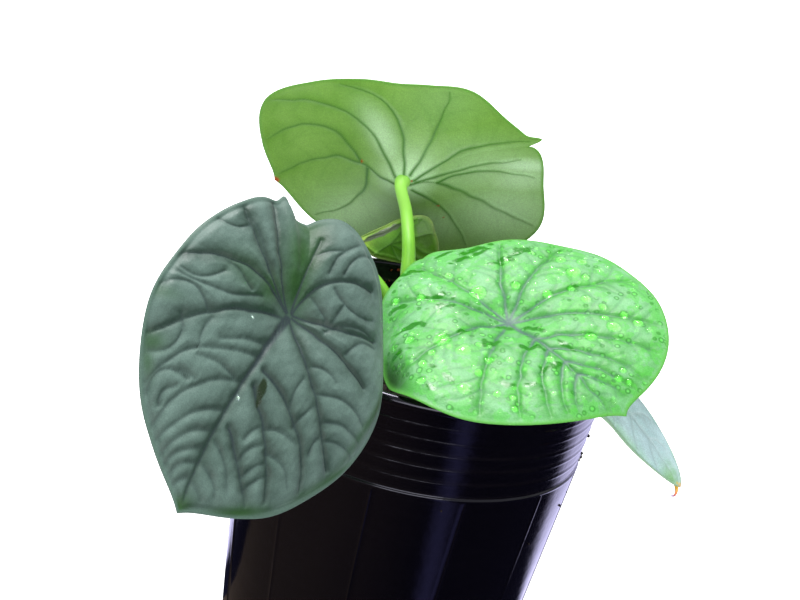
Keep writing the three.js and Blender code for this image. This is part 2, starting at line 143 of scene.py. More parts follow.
@dataclass
class Form:
    """A mesh in the making: points in mm, faces, the finish of each face and values on the points."""

    points: Array
    faces: list[list[int]]
    finish_of: Array | None = None
    values: dict[str, Array] = field(default_factory=dict)
    vectors: dict[str, Array] = field(default_factory=dict)

    def mesh(self, name: str, materials: Sequence[bpy.types.Material]) -> bpy.types.Object:
        """Makes the object, smooth shaded, at the origin, with its place in its mesh.

        Args:
            name: The piece's name.
            materials: Its materials, in the order that finish_of counts them.

        Returns:
            The new object, linked to the scene.
        """
        data = bpy.data.meshes.new(name)
        data.from_pydata((self.points * MM).tolist(), [], self.faces)
        for material in materials:
            data.materials.append(material)
        if self.finish_of is not None:
            data.polygons.foreach_set("material_index", self.finish_of.astype(np.int32))
        for key, value in self.values.items():
            layer = data.attributes.new(key, "FLOAT", "POINT")
            layer.data.foreach_set("value", value.astype(np.float32).ravel())
        for key, value in self.vectors.items():
            layer = data.attributes.new(key, "FLOAT_VECTOR", "POINT")
            layer.data.foreach_set("vector", value.astype(np.float32).ravel())
        data.polygons.foreach_set("use_smooth", np.ones(len(self.faces), bool))
        data.update()
        piece = bpy.data.objects.new(name, data)
        bpy.context.scene.collection.objects.link(piece)
        return piece


def settle(piece: bpy.types.Object, slot: Slot, *nodes: str) -> bpy.types.Object:
    """Puts a piece on the plant's one body, and hides and names the frame's nodes that it stands for.

    Args:
        piece: The finished piece.
        slot: The record's slot that its finish comes from. Not used.
        nodes: The frame's nodes that it replaces, if any.

    Returns:
        The same piece.
    """
    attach(piece, "root")
    if nodes:
        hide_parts(*nodes)
    LOG.info("%s: %d faces, for %s", piece.name, len(piece.data.polygons), ", ".join(nodes) or "no node")
    return piece


def grid_faces(rows: int, columns: int, closed: bool) -> list[list[int]]:
    """Four-sided faces of a grid of points numbered row by row.

    Args:
        rows: Number of rows of points.
        columns: Number of points in a row.
        closed: Whether the last column joins the first.

    Returns:
        The faces, turned the way that goes round (row, column), (row, column + 1), (row + 1, column + 1).
    """
    steps = columns if closed else columns - 1
    row, column = np.meshgrid(np.arange(rows - 1) * columns, np.arange(steps), indexing="ij")
    ahead = (column + 1) % columns
    quads = np.stack([row + column, row + ahead, row + columns + ahead, row + columns + column], axis=-1)
    return quads.reshape(-1, 4).tolist()


def end_caps(last: int, sides: int, count: int) -> list[list[int]]:
    """Fans that close a tube whose two end points are the last two of its count points.

    Args:
        last: The number of the last ring's first point.
        sides: Number of points in a ring.
        count: Number of points in all.

    Returns:
        The three-sided faces.
    """
    side = np.arange(sides)
    ahead = np.roll(side, -1)
    first_fan = np.stack([ahead, side, np.full(sides, count - 2)], axis=-1)
    last_fan = np.stack([last + side, last + ahead, np.full(sides, count - 1)], axis=-1)
    return first_fan.tolist() + last_fan.tolist()


def repeated(faces: list[list[int]], count: int, points: int) -> list[list[int]]:
    """The faces of equal bodies whose points stand one after another.

    Args:
        faces: The faces of the first one.
        count: Number of bodies.
        points: Number of points in each.

    Returns:
        The faces of all.
    """
    return [[point + body * points for point in face] for body in range(count) for face in faces]


def tube(centre: Array, sideways: Array, radius: Array) -> tuple[Array, list[list[int]]]:
    """A round section carried along a line, closed by a fan at each end.

    Args:
        centre: The points of the line.
        sideways: A direction that the section's first axis keeps to, square to the line.
        radius: The radius at each point of the line, in rows, and each direction round it.

    Returns:
        The points, ring by ring with the two end points last, and the faces. A ring's point is
        centre + radius (cos(angle) first + sin(angle) second).
    """
    forward = np.gradient(centre, axis=0)
    forward /= np.linalg.norm(forward, axis=1)[:, None]
    first = sideways - (forward @ sideways)[:, None] * forward
    first /= np.linalg.norm(first, axis=1)[:, None]
    second = np.cross(forward, first)
    sides = radius.shape[1]
    angle = around(sides)
    ring = np.cos(angle)[..., None] * first[:, None] + np.sin(angle)[..., None] * second[:, None]
    points = (centre[:, None] + radius[..., None] * ring).reshape(-1, 3)
    points = np.concatenate([points, centre[:1], centre[-1:]])
    caps = end_caps((len(centre) - 1) * sides, sides, len(points))
    return points, grid_faces(len(centre), sides, True) + caps


class Graph:
    """A node tree with short calls for the nodes that the finishes here use."""

    def __init__(self, tree: bpy.types.NodeTree) -> None:
        """Keeps the tree that the calls add to."""
        self.tree = tree

    def feed(self, socket: Socket, value: Any) -> None:
        """Links a socket's source to it, or sets its own value."""
        if isinstance(value, bpy.types.NodeSocket):
            self.tree.links.new(value, socket)
        else:
            socket.default_value = value

    def add(self, kind: str, sockets: dict[str, Any] | None = None, **settings: Any) -> bpy.types.Node:
        """Adds a node.

        Args:
            kind: Blender's name of the node type.
            sockets: Value or source of each named input.
            settings: Properties of the node.

        Returns:
            The node.
        """
        node = self.tree.nodes.new(kind)
        for key, value in settings.items():
            setattr(node, key, value)
        for key, value in (sockets or {}).items():
            self.feed(node.inputs[key], value)
        return node

    def value(self, name: str) -> Socket:
        """The value that the piece's points hold under a name."""
        return self.add("ShaderNodeAttribute", attribute_name=name).outputs["Fac"]

    def vector(self, name: str) -> Socket:
        """The vector that the piece's points hold under a name."""
        return self.add("ShaderNodeAttribute", attribute_name=name).outputs["Vector"]

    def place(self) -> Socket:
        """The object coordinates, in metres."""
        return self.add("ShaderNodeTexCoord").outputs["Object"]

    def noise(self, scale: float, where: Socket, detail: float = 3, roughness: float = 0.55) -> Socket:
        """A cloudy value of 0 to 1 with features of about 1 / scale."""
        sockets = {"Vector": where, "Scale": scale, "Detail": detail, "Roughness": roughness}
        return self.add("ShaderNodeTexNoise", sockets).outputs["Fac"]

    def cells(self, scale: float, where: Socket) -> bpy.types.Node:
        """A Voronoi pattern with cells of about 1 / scale."""
        return self.add("ShaderNodeTexVoronoi", {"Vector": where, "Scale": scale})

    def math(self, how: str, first: Any, second: Any = 0.0, clamp: bool = False) -> Socket:
        """A sum, difference or other rule on two values."""
        node = self.add("ShaderNodeMath", operation=how, use_clamp=clamp)
        self.feed(node.inputs[0], first)
        self.feed(node.inputs[1], second)
        return node.outputs[0]

    def times(self, first: Any, second: Any) -> Socket:
        """The product of two values."""
        return self.math("MULTIPLY", first, second)

    def span(self, value: Socket, low: float, high: float, start: float = 0.0, end: float = 1.0) -> Socket:
        """A value's range from low to high, moved onto start to end and kept inside it."""
        sockets = {"Value": value, "From Min": low, "From Max": high, "To Min": start, "To Max": end}
        return self.add("ShaderNodeMapRange", sockets).outputs["Result"]

    def mix(self, share: Any, first: Any, second: Any, how: str = "MIX") -> Socket:
        """The first colour where share is 0, and the second laid over it in full where it is 1."""
        node = self.add("ShaderNodeMix", data_type="RGBA", blend_type=how)
        for index, value in ((0, share), (6, first), (7, second)):
            self.feed(node.inputs[index], value)
        return node.outputs[2]

    def bump(self, height: Socket, depth: float, normal: Socket | None = None) -> Socket:
        """A normal that leans with a height of 0 to 1 that stands for depth, in mm."""
        sockets = {"Height": height, "Distance": depth * MM, "Strength": 1.0}
        if normal is not None:
            sockets["Normal"] = normal
        return self.add("ShaderNodeBump", sockets).outputs["Normal"]

    def scaled(self, where: Socket, x: float, y: float, z: float) -> Socket:
        """Coordinates stretched along their axes."""
        node = self.add("ShaderNodeMapping", {"Vector": where})
        node.inputs["Scale"].default_value = (x, y, z)
        return node.outputs["Vector"]


def new_material(name: str) -> tuple[bpy.types.Material, Graph, bpy.types.Node]:
    """A material with an empty Principled shader.

    Args:
        name: The material's name.

    Returns:
        The material, its graph, and the shader node.
    """
    material = bpy.data.materials.new(name)
    material.use_nodes = True
    shader = material.node_tree.nodes["Principled BSDF"]
    return material, Graph(material.node_tree), shader


class Effects:
    """The node groups that more than one material uses, each built once."""

    made: dict[str, bpy.types.NodeTree] = {}

    @classmethod
    def grain(cls) -> bpy.types.NodeTree:
        """Fine uneven skin. Coarse and Fine are its scales, per metre.

        Returns:
            The group. It puts out Tone, a slow cloud, and Height, a fine pitted grain.
        """
        if "grain" not in cls.made:
            tree = bpy.data.node_groups.new("skin_grain", "ShaderNodeTree")
            sides = {"in_out": "INPUT", "socket_type": "NodeSocketFloat"}
            tree.interface.new_socket("Vector", in_out="INPUT", socket_type="NodeSocketVector")
            tree.interface.new_socket("Coarse", **sides)
            tree.interface.new_socket("Fine", **sides)
            for name in ("Tone", "Height"):
                tree.interface.new_socket(name, in_out="OUTPUT", socket_type="NodeSocketFloat")
            graph = Graph(tree)
            source = graph.add("NodeGroupInput").outputs
            drain = graph.add("NodeGroupOutput")
            sockets = {"Vector": source["Vector"], "Detail": 4.0, "Roughness": 0.6}
            slow = graph.add("ShaderNodeTexNoise", {**sockets, "Scale": source["Coarse"]})
            fine = graph.add("ShaderNodeTexNoise", {**sockets, "Scale": source["Fine"]})
            pits = graph.add("ShaderNodeTexVoronoi", {"Vector": source["Vector"], "Scale": source["Fine"]})
            depth = graph.times(pits.outputs["Distance"], 0.6)
            height = graph.math("ADD", fine.outputs["Fac"], depth)
            graph.feed(drain.inputs["Tone"], slow.outputs["Fac"])
            graph.feed(drain.inputs["Height"], height)
            cls.made["grain"] = tree
        return cls.made["grain"]

    @classmethod
    def use_grain(cls, graph: Graph, where: Socket, coarse: float, fine: float) -> bpy.types.Node:
        """Places the grain group in a material with its own scales, per metre."""
        node = graph.add("ShaderNodeGroup", node_tree=cls.grain())
        for name, value in (("Vector", where), ("Coarse", coarse), ("Fine", fine)):
            graph.feed(node.inputs[name], value)
        return node


@dataclass(frozen=True)
class LeafFinish:
    """One face of a leaf, with its colours as the eye would see them, light and shade painted in.

    The points' values say where each colour goes: ridge is painted light where the relief stands up, and
    trough painted shade in its creases and by its veins. mottle is how far a slow cloud sways the colour from
    trough to ridge, and cloud that cloud's scale per metre. film is the share of film_tint in the wet
    patches.
    """

    name: str
    lit_ridge: Color
    shaded_trough: Color
    vein: Color
    rim: Color
    tinge_and_painted_light: Color
    # Colour of the wet spots, and of the painted shade round drops.
    wet_and_shade: Color
    side_vein: float = 0.5
    mottle: float = 0.35
    roughness: float = 0.5
    grain: float = 0.05
    sheen: float = 0.0
    cloud: float = 90.0
    film: float = 0.0
    film_tint: Color = eye(82, 190, 62)
    # Colour of the painted highlight under each drop.
    dew_and_glow: Color = eye(150, 255, 96)

    GRAIN_SCALE = 1500.0
    SPECK_SCALE = 2600.0
    PATCH_SCALE = 190.0
    BEAD_SCALE = 300.0
    BEAD_FIELD_SCALE = 120.0
    WET_ROUGHNESS = 0.28

    def material(self) -> bpy.types.Material:
        """Builds the material: painted relief shade, creases, veins, rim, tinges, wet and drops, with fine
        grain.

        Returns:
            The material.
        """
        material, graph, shader = new_material(self.name)
        grain = Effects.use_grain(graph, graph.place(), self.cloud, self.GRAIN_SCALE)
        cloud = graph.span(grain.outputs["Tone"], 0.35, 0.65)
        sway = graph.times(graph.math("SUBTRACT", cloud, 0.5), self.mottle)
        # Painted light and shade: the colour goes from trough to ridge by this share, low in the creases and
        # by the veins, where shade falls, and swayed by the cloud.
        painted_relief_shade = graph.math("ADD", graph.value("painted_relief_shade"), sway, clamp=True)
        color = graph.mix(painted_relief_shade, self.shaded_trough, self.lit_ridge)
        if self.film:
            color = self.wetted(graph, color)
        # On the back leaf the tinge is painted light, and on the right leaf painted shade.
        layers = (
            (graph.value("tinge_and_painted_light"), self.tinge_and_painted_light),
            (graph.times(graph.value("crease"), self.side_vein), self.vein),
            (graph.value("vein"), self.vein),
            (graph.value("rim"), self.rim),
            # The wet share also carries painted shade round the drops, and the dew share a painted highlight
            # under each.
            (graph.value("wet_and_shade"), self.wet_and_shade),
            (graph.value("dew_and_glow"), self.dew_and_glow),
        )
        for share, layer in layers:
            color = graph.mix(share, color, layer)
        speck = graph.span(graph.noise(self.SPECK_SCALE, graph.place(), 2), 0.35, 0.7, 0.86, 1.1)
        graph.feed(shader.inputs["Base Color"], graph.mix(1.0, color, speck, "MULTIPLY"))
        rough = graph.span(cloud, 0, 1, self.roughness - 0.06, self.roughness + 0.08)
        gloss = graph.times(graph.value("wet_and_shade"), self.roughness - self.WET_ROUGHNESS)
        graph.feed(shader.inputs["Roughness"], graph.math("SUBTRACT", rough, gloss, clamp=True))
        graph.feed(shader.inputs["Normal"], graph.bump(grain.outputs["Height"], self.grain))
        shader.inputs["Sheen Weight"].default_value = self.sheen
        shader.inputs["Sheen Roughness"].default_value = 0.45
        return material

    def wetted(self, graph: Graph, color: Socket) -> Socket:
        """Lays a wet film over a colour: cloudy patches, and small beads painted with a highlight core and a
        shade ring.

        Args:
            graph: The material's graph.
            color: The dry colour.

        Returns:
            The wet colour.
        """
        patches = graph.span(graph.noise(self.PATCH_SCALE, graph.place(), 3, 0.6), 0.5, 0.545)
        color = graph.mix(graph.times(patches, self.film), color, self.film_tint)
        far = graph.cells(self.BEAD_SCALE, graph.place()).outputs["Distance"]
        beaded = graph.span(graph.noise(self.BEAD_FIELD_SCALE, graph.place(), 1), 0.44, 0.52)
        # Painted shade in a ring round each small bead, and a painted highlight in its core.
        ring = graph.times(graph.span(far, 0.34, 0.27), graph.span(far, 0.14, 0.22))
        color = graph.mix(graph.times(ring, graph.times(beaded, 0.75)), color, self.wet_and_shade)
        painted_bead_highlight = graph.times(graph.span(far, 0.2, 0.1), graph.times(beaded, 0.6))
        return graph.mix(painted_bead_highlight, color, self.dew_and_glow)


@dataclass(frozen=True)
class StemFinish:
    """Waxy green stem skin with fine lengthwise streaks, paler at the blade and browner at the crown."""

    name: str
    skin: Color
    streak: Color
    top: Color
    foot: Color
    speck: Color = eye(190, 110, 40)

    def material(self) -> bpy.types.Material:
        """Builds the material. The points' skin vector is round the stem in x and y and along it in z.

        Returns:
            The material.
        """
        material, graph, shader = new_material(self.name)
        skin = graph.vector("skin")
        streaks = graph.noise(5.0, graph.scaled(skin, 1, 1, 0.12), 5, 0.7)
        color = graph.mix(graph.span(streaks, 0.38, 0.66), self.skin, self.streak)
        color = graph.mix(graph.value("top"), color, self.top)
        color = graph.mix(graph.value("foot"), color, self.foot)
        dots = graph.cells(320.0, graph.place()).outputs["Distance"]
        rare = graph.span(graph.noise(130.0, graph.place(), 1), 0.58, 0.6)
        dot = graph.times(graph.span(dots, 0.16, 0.1), rare)
        color = graph.mix(graph.times(dot, 0.8), color, self.speck)
        graph.feed(shader.inputs["Base Color"], color)
        graph.feed(shader.inputs["Roughness"], graph.span(streaks, 0.3, 0.7, 0.34, 0.5))
        graph.feed(shader.inputs["Normal"], graph.bump(streaks, 0.12))
        return material


@dataclass(frozen=True)
class PlasticFinish:
    """Thin black glossy plastic with fine level scuffs and brownish dust in its grooves."""

    name: str = "black_plastic"
    color: Color = eye(4, 3, 6)
    dust: Color = eye(40, 34, 33)
    roughness: float = 0.13

    def material(self) -> bpy.types.Material:
        """Builds the material. The points' skin vector is their place, in rim radii.

        Returns:
            The material.
        """
        material, graph, shader = new_material(self.name)
        skin = graph.vector("skin")
        scuffs = graph.noise(3.0, graph.scaled(skin, 1.2, 1.2, 42), 6, 0.65)
        smears = graph.noise(2.2, graph.scaled(skin, 1, 1, 1.4), 4, 0.6)
        dust = graph.times(graph.span(scuffs, 0.52, 0.75), graph.span(smears, 0.4, 0.7))
        dust = graph.math("ADD", graph.times(dust, 0.5), graph.value("groove"), clamp=True)
        color = graph.mix(graph.times(dust, 0.28), self.color, self.dust)
        graph.feed(shader.inputs["Base Color"], color)
        worn = graph.span(scuffs, 0.4, 0.7, self.roughness - 0.03, self.roughness + 0.08)
        graph.feed(shader.inputs["Roughness"], graph.math("ADD", worn, graph.times(dust, 0.2)))
        graph.feed(shader.inputs["Normal"], graph.bump(scuffs, 0.012, graph.bump(smears, 0.4)))
        shader.inputs["Specular Tint"].default_value = (0.86, 0.84, 1.0, 1.0)
        return material


@dataclass(frozen=True)
class SoilFinish:
    """Moist dark potting mix with orange-brown fibre specks."""

    name: str = "potting_mix"
    dark: Color = eye(24, 16, 12)
    brown: Color = eye(46, 30, 18)
    rust: Color = eye(165, 82, 34)

    def material(self) -> bpy.types.Material:
        """Builds the material. The points' tone value, 0 to 1, goes from dark through brown to rust.

        Returns:
            The material.
        """
        material, graph, shader = new_material(self.name)
        where = graph.place()
        crumbs = graph.noise(420.0, where, 6, 0.7)
        color = graph.mix(graph.span(crumbs, 0.35, 0.7), self.dark, self.brown)
        color = graph.mix(graph.value("tone"), color, self.rust)
        specks = graph.span(graph.cells(520.0, where).outputs["Distance"], 0.22, 0.12)
        rare = graph.span(graph.noise(260.0, where, 1), 0.56, 0.6)
        color = graph.mix(graph.times(specks, rare), color, self.rust)
        graph.feed(shader.inputs["Base Color"], color)
        graph.feed(shader.inputs["Roughness"], graph.span(crumbs, 0.3, 0.7, 0.95, 0.7))
        graph.feed(shader.inputs["Normal"], graph.bump(crumbs, 0.8))
        return material


@dataclass(frozen=True)
class CrownFinish:
    """Fleshy ringed rhizome: brown-green, papery brown at the scars."""

    name: str = "ringed_crown"
    flesh: Color = eye(120, 128, 62)
    paper: Color = eye(112, 78, 44)

    def material(self) -> bpy.types.Material:
        """Builds the material. The points' scar value is 1 on a leaf scar.

        Returns:
            The material.
        """
        material, graph, shader = new_material(self.name)
        grain = Effects.use_grain(graph, graph.place(), 240.0, 1300.0)
        stain = graph.span(grain.outputs["Tone"], 0.45, 0.7, -0.2, 0.5)
        share = graph.math("ADD", graph.value("scar"), stain, clamp=True)
        graph.feed(shader.inputs["Base Color"], graph.mix(share, self.flesh, self.paper))
        shader.inputs["Roughness"].default_value = 0.7
        graph.feed(shader.inputs["Normal"], graph.bump(grain.outputs["Height"], 0.3))
        return material


@dataclass(frozen=True)
class WaterFinish:
    """Clear water with a faint green of the leaf in it."""

    name: str = "water"
    bend: float = 1.33
    tint: Color = (0.86, 1.0, 0.72, 1.0)

    def material(self) -> bpy.types.Material:
        """Builds the material: clear glass with water's bend of light, which lets the lamps through.

        Returns:
            The material.
        """
        material, graph, shader = new_material(self.name)
        shader.inputs["Base Color"].default_value = self.tint
        shader.inputs["Roughness"].default_value = 0.0
        shader.inputs["IOR"].default_value = self.bend
        shader.inputs["Transmission Weight"].default_value = 1.0
        clear = graph.add("ShaderNodeBsdfTransparent")
        chosen = graph.add("ShaderNodeMixShader")
        graph.feed(chosen.inputs[0], graph.add("ShaderNodeLightPath").outputs["Is Shadow Ray"])
        graph.feed(chosen.inputs[1], shader.outputs[0])
        graph.feed(chosen.inputs[2], clear.outputs[0])
        graph.feed(material.node_tree.nodes["Material Output"].inputs["Surface"], chosen.outputs[0])
        return material


@dataclass(frozen=True)
class Bend:
    """A bend round one direction of a blade: where it is and how wide, in degrees, and how deep, in mm."""

    angle: float
    width: float
    depth: float

    def lobe(self, angle: Array) -> Array:
        """The depth in each direction, in radians: a bell curve round the bend's own."""
        return self.depth * bell(turn(angle, math.radians(self.angle)), math.radians(self.width))


@dataclass(frozen=True)
class Spot:
    """An oval spot on a blade: middle, half length and half width in mm, turn in degrees, strength."""

    x: float
    y: float
    length: float
    width: float
    turned: float = 0.0
    strength: float = 1.0


@dataclass(frozen=True)
class Oval:
    """A slender blade's outline: tip and back length, and each side's half width and point exponent."""

    tip: float
    back: float
    half: tuple[float, float]
    point: tuple[float, float]


@dataclass(frozen=True)
class Relief:
    """Depth of the ribs, puff of the panels and of the quilting, and how far ribs stand out below, in mm."""

    rib: float
    puff: float
    quilt: float
    under: float = 0.35


@dataclass(frozen=True)
class Stalk:
    """A leaf stem: the angle at which it leaves the crown, the points it passes and its radii at both ends.

    reach is how far it runs straight before the blade, and arrive the plane point where it meets the blade.
    """

    exit: float
    via: tuple[Point, ...]
    reach: float
    radii: tuple[float, float]
    arrive: tuple[float, float] = (0.0, 0.0)


@dataclass
class Blade:
    """A leaf blade, by the formulas that the frame's own blades follow, with some of its sizes set finer.

    at is the blade's own origin, in most leaves where the stem meets it. faces is the azimuth and elevation
    of the upper face, and heading turns the tip within the blade's plane. outline is the margin's distance
    every 20 degrees, or an oval. tip is the drip tip's angle and length. funnel is a depth and a radius, wave
    a height, a count and a phase, and cup the bend of each half.

    Main veins are either traced one by one, or rays, by their angles, and laterals, by a share of the midrib
    and an angle. Side veins are the creases, or grow by rule. A traced vein or a crease is its start and its
    end, each an angle and a share of the margin's distance, and the bow of its middle as a share of its
    length. sweep bends the whole blade sideways with the square of the way to the tip. dew holds the drops'
    plane coordinates and radii; a highlight is painted under each drop, and shade round each larger one.
    """

    name: str
    slot: Slot
    at: Point
    faces: tuple[float, float]
    heading: float
    outline: tuple[float, ...] | Oval
    tip: tuple[float, float]
    notch: Bend
    corner: Bend
    funnel: tuple[float, float]
    edge: float
    cleft: Bend
    wave: tuple[float, int, float]
    relief: Relief
    stalk: Stalk
    upper: LeafFinish
    under: LeafFinish
    cells: int
    rays: tuple[float, ...] = ()
    laterals: tuple[tuple[float, float], ...] = ()
    curls: tuple[Bend, ...] = ()
    cup: tuple[float, float] = (0.0, 0.0)
    hem: Bend = Bend(0.0, 20.0, 0.0)
    sweep: float = 0.0
    traced: tuple[Crease, ...] = ()
    creases: tuple[Crease, ...] = ()
    tinges_and_painted_light: tuple[Spot, ...] = ()
    puddles_and_shade: tuple[Spot, ...] = ()
    side_pitch: float = 5.5
    margin_groove: float = 0.3
    vein_width: float = 0.5
    midrib_width: float = 0.8
    vein_fade: float = 0.35
    under_calm: float = 0.0
    spot_waver: float = 0.5
    midrib_gap: float = 0.0
    # Painted light: how strongly the relief's up-facing flanks are drawn lighter and its down-facing ones
    # darker.
    painted_light_gain: float = 1.0
    dew_and_glow: tuple[tuple[float, float, float], ...] = ()
    wet_side: Side = Side.UPPER
    thickness: float = 0.6
    edge_thickness: float = 0.4
    wobble: float = 0.3
    seed: int = 1

    TIP_WIDTH = 4.0
    PANEL_RISE = 2.5
    CELL_RISE = 1.3
    CREASE_WIDTH = 0.42
    UNDER_CREASE = 0.6
    RIM_WIDTH = 0.75
    SHADE_RIM_WIDTH = 0.36
    SHADE_RIM_LEAST = 1.0
    DEW_SHARE = 0.62

    def __post_init__(self) -> None:
        """Works out the axes and the veins."""
        azimuth, elevation, heading = (math.radians(a) for a in (*self.faces, self.heading))
        self.up = np.array(
            [
                math.cos(elevation) * math.sin(azimuth),
                -math.cos(elevation) * math.cos(azimuth),
                math.sin(elevation),
            ]
        )
        level = np.array([math.cos(azimuth), math.sin(azimuth), 0.0])
        slope = np.cross(self.up, level)
        self.along = math.cos(heading) * level + math.sin(heading) * slope
        self.across = np.cross(self.up, self.along)
        self.main_veins = self.trace_main_veins()
        self.side_veins = self.trace_creases() if self.creases else self.grow_side_veins()

    def margin(self, angle: Array) -> Array:
        """Distance to the margin: the body, plus a drip tip, less the cleft, plus a lobe's corner.

        Args:
            angle: Directions in the blade's plane, in radians.

        Returns:
            The distances, in mm.
        """
        if isinstance(self.outline, Oval):
            body = self.oval_radius(self.outline, angle)
        else:
            body = self.spline_radius(np.array(self.outline), angle)
        tip_angle, tip_length = self.tip
        from_tip, from_notch = (np.abs(turn(angle, math.radians(a))) for a in (tip_angle, self.notch.angle))
        tip = tip_length * np.exp(-from_tip / math.radians(self.TIP_WIDTH))
        notch = self.notch.depth * np.exp(-from_notch / math.radians(self.notch.width))
        return body + tip - notch + self.corner.lobe(angle)

    @staticmethod
    def oval_radius(oval: Oval, angle: Array) -> Array:
        """A superellipse, (|cos / length|^p + |sin / half|^p)^(-1/p), sharper towards the tip.

        Args:
            oval: Its lengths, half widths and exponents.
            angle: Directions, in radians.

        Returns:
            The distances, in mm.
        """
        forward = np.cos(angle) > 0
        left = np.sin(angle) > 0
        length = np.where(forward, oval.tip, oval.back)
        half = np.where(left, *oval.half)
        power = np.where(forward, np.where(left, *oval.point), 2.0)
        total = np.abs(np.cos(angle) / length) ** power + np.abs(np.sin(angle) / half) ** power
        return total ** (-1 / power)

    @staticmethod
    def spline_radius(radii: Array, angle: Array) -> Array:
        """A smooth closed Catmull-Rom curve through radii at even steps from -pi.

        Args:
            radii: The distances that it passes, in mm.
            angle: Directions, in radians.

        Returns:
            The distances, in mm.
        """
        place = (angle + np.pi) / (2 * np.pi) * len(radii)
        first = np.floor(place).astype(int)
        share = place - first
        a, b, c, d = (radii[(first + step) % len(radii)] for step in (-1, 0, 1, 2))
        square = 2 * a - 5 * b + 4 * c - d
        cubic = -a + 3 * b - 3 * c + d
        return 0.5 * (2 * b + (c - a) * share + square * share**2 + cubic * share**3)

    @staticmethod
    def bezier(start: Array, middle: Array, end: Array, steps: int = 12) -> Array:
        """A quadratic curve as points: (1-t)^2 start + 2t(1-t) middle + t^2 end."""
        t = np.linspace(0, 1, steps + 1)[:, None]
        return (1 - t) ** 2 * start + 2 * t * (1 - t) * middle + t**2 * end

    def polar(self, degrees: float, share: float, turned: float = 0.0) -> Array:
        """The plane point at a share of the margin's distance in a direction, then turned by some radians."""
        angle = math.radians(degrees)
        radius = share * float(self.margin(np.array(angle)))
        return radius * np.array([math.cos(angle + turned), math.sin(angle + turned)])

    def trace_main_veins(self) -> list[Array]:
        """The midrib, the rays from the stem, and the laterals off the midrib.

        Returns:
            Lines of plane points, with the midrib first.
        """
        if self.traced:
            return [self.bowed(self.polar(a, b), self.polar(c, d), bow) for a, b, c, d, bow in self.traced]
        length = float(self.margin(np.array(0.0)))
        stem = np.zeros(2)
        lines = [self.bezier(stem, np.array([0.5 * length, 0]), np.array([0.97 * length, 0]))]
        for degrees in self.rays:
            bend = (0.22 if abs(degrees) < 150 else 0.05) * math.sin(math.radians(degrees))
            lines.append(self.bezier(stem, self.polar(degrees, 0.55, bend), self.polar(degrees, 0.94)))
        for share, degrees in self.laterals:
            start = np.array([share * length, 0])
            end = self.polar(degrees, 0.95)
            lines.append(self.bowed(start, end, 0.16 * np.sign(degrees)))
        return lines

    def bowed(self, start: Array, end: Array, bow: float) -> Array:
        """A curve from start to end, its middle pushed left of the chord by bow times the chord's length."""
        chord = end - start
        middle = (start + end) / 2 + bow * np.array([-chord[1], chord[0]])
        return self.bezier(start, middle, end)

    def trace_creases(self) -> list[Array]:
        """The side veins given one by one."""
        return [self.bowed(self.polar(a, b), self.polar(c, d), bow) for a, b, c, d, bow in self.creases]

    def grow_side_veins(self) -> list[Array]:
        """Side veins grown by rule: they leave each main vein on both sides at even steps, slanting forwards.

        Returns:
            The lines. Each ends before it comes nearer to another main vein, or to the margin.
        """
        draw = np.random.default_rng(self.seed)
        grown = []
        for index, line in enumerate(self.main_veins):
            steps = np.hypot(*np.diff(line, axis=0).T)
            travelled = np.concatenate([[0], np.cumsum(steps)])
            start = 0.9 * self.side_pitch
            while start < travelled[-1] - 2:
                root = np.array([np.interp(start, travelled, line[:, axis]) for axis in (0, 1)])
                ahead = np.array([np.interp(start + 0.5, travelled, line[:, axis]) for axis in (0, 1)])
                forward = (ahead - root) / max(np.hypot(*(ahead - root)), 1e-6)
                for side in (1, -1):
                    slant = math.radians(draw.uniform(48, 62))
                    sideways = side * np.array([-forward[1], forward[0]])
                    heading = math.cos(slant) * forward + math.sin(slant) * sideways
                    reach = self.room(index, root, heading)
                    if reach > 1.5:
                        grown.append(self.bowed(root, root + reach * heading, -0.16 * side))
                start += self.side_pitch * draw.uniform(0.8, 1.25)
        return grown

    def room(self, own: int, root: Array, heading: Array) -> float:
        """How far a side vein can run before another main vein is nearer than its own, or the margin comes.

        Args:
            own: The number of its own main vein.
            root: The plane point where it starts.
            heading: Its direction, of length 1.

        Returns:
            The length, in mm.
        """
        reach = np.arange(1.0, 26.0, 0.8)
        x, y = (root[axis] + reach * heading[axis] for axis in (0, 1))
        home = self.distance([self.main_veins[own]], x, y)[0]
        others = [line for index, line in enumerate(self.main_veins) if index != own]
        away = self.distance(others, x, y)[0]
        inside = np.hypot(x, y) < 0.93 * self.margin(np.arctan2(y, x))
        free = (home < away + 0.6) & inside
        stop = len(reach) if free.all() else int(np.argmin(free))
        return float(reach[stop - 1]) if stop else 0.0

    @staticmethod
    def distance(lines: Sequence[Array], x: Array, y: Array) -> tuple[Array, Array]:
        """How far each point lies from the nearest of some lines, and how far along that line, as a share.

        Args:
            lines: Lines of plane points.
            x: First plane coordinate of the points.
            y: Second plane coordinate of the points.

        Returns:
            The distance in mm, and 0 at the line's start to 1 at its end.
        """
        best = np.full(x.shape, 1e3, np.float32)
        share = np.zeros(x.shape, np.float32)
        flat = np.stack([x.ravel(), y.ravel()], axis=-1).astype(np.float32)
        for line in lines:
            start, step = line[:-1].astype(np.float32), np.diff(line, axis=0).astype(np.float32)
            gap = flat[:, None, :] - start[None]
            part = np.clip((gap * step).sum(-1) / np.maximum((step**2).sum(-1), 1e-9), 0, 1)
            off = np.hypot(*np.moveaxis(gap - part[..., None] * step, -1, 0))
            nearest = off.argmin(axis=1)
            rows = np.arange(len(flat))
            distance = off[rows, nearest].reshape(x.shape)
            along = ((nearest + part[rows, nearest]) / len(step)).reshape(x.shape)
            closer = distance < best
            best = np.where(closer, distance, best)
            share = np.where(closer, along, share)
        return best, share

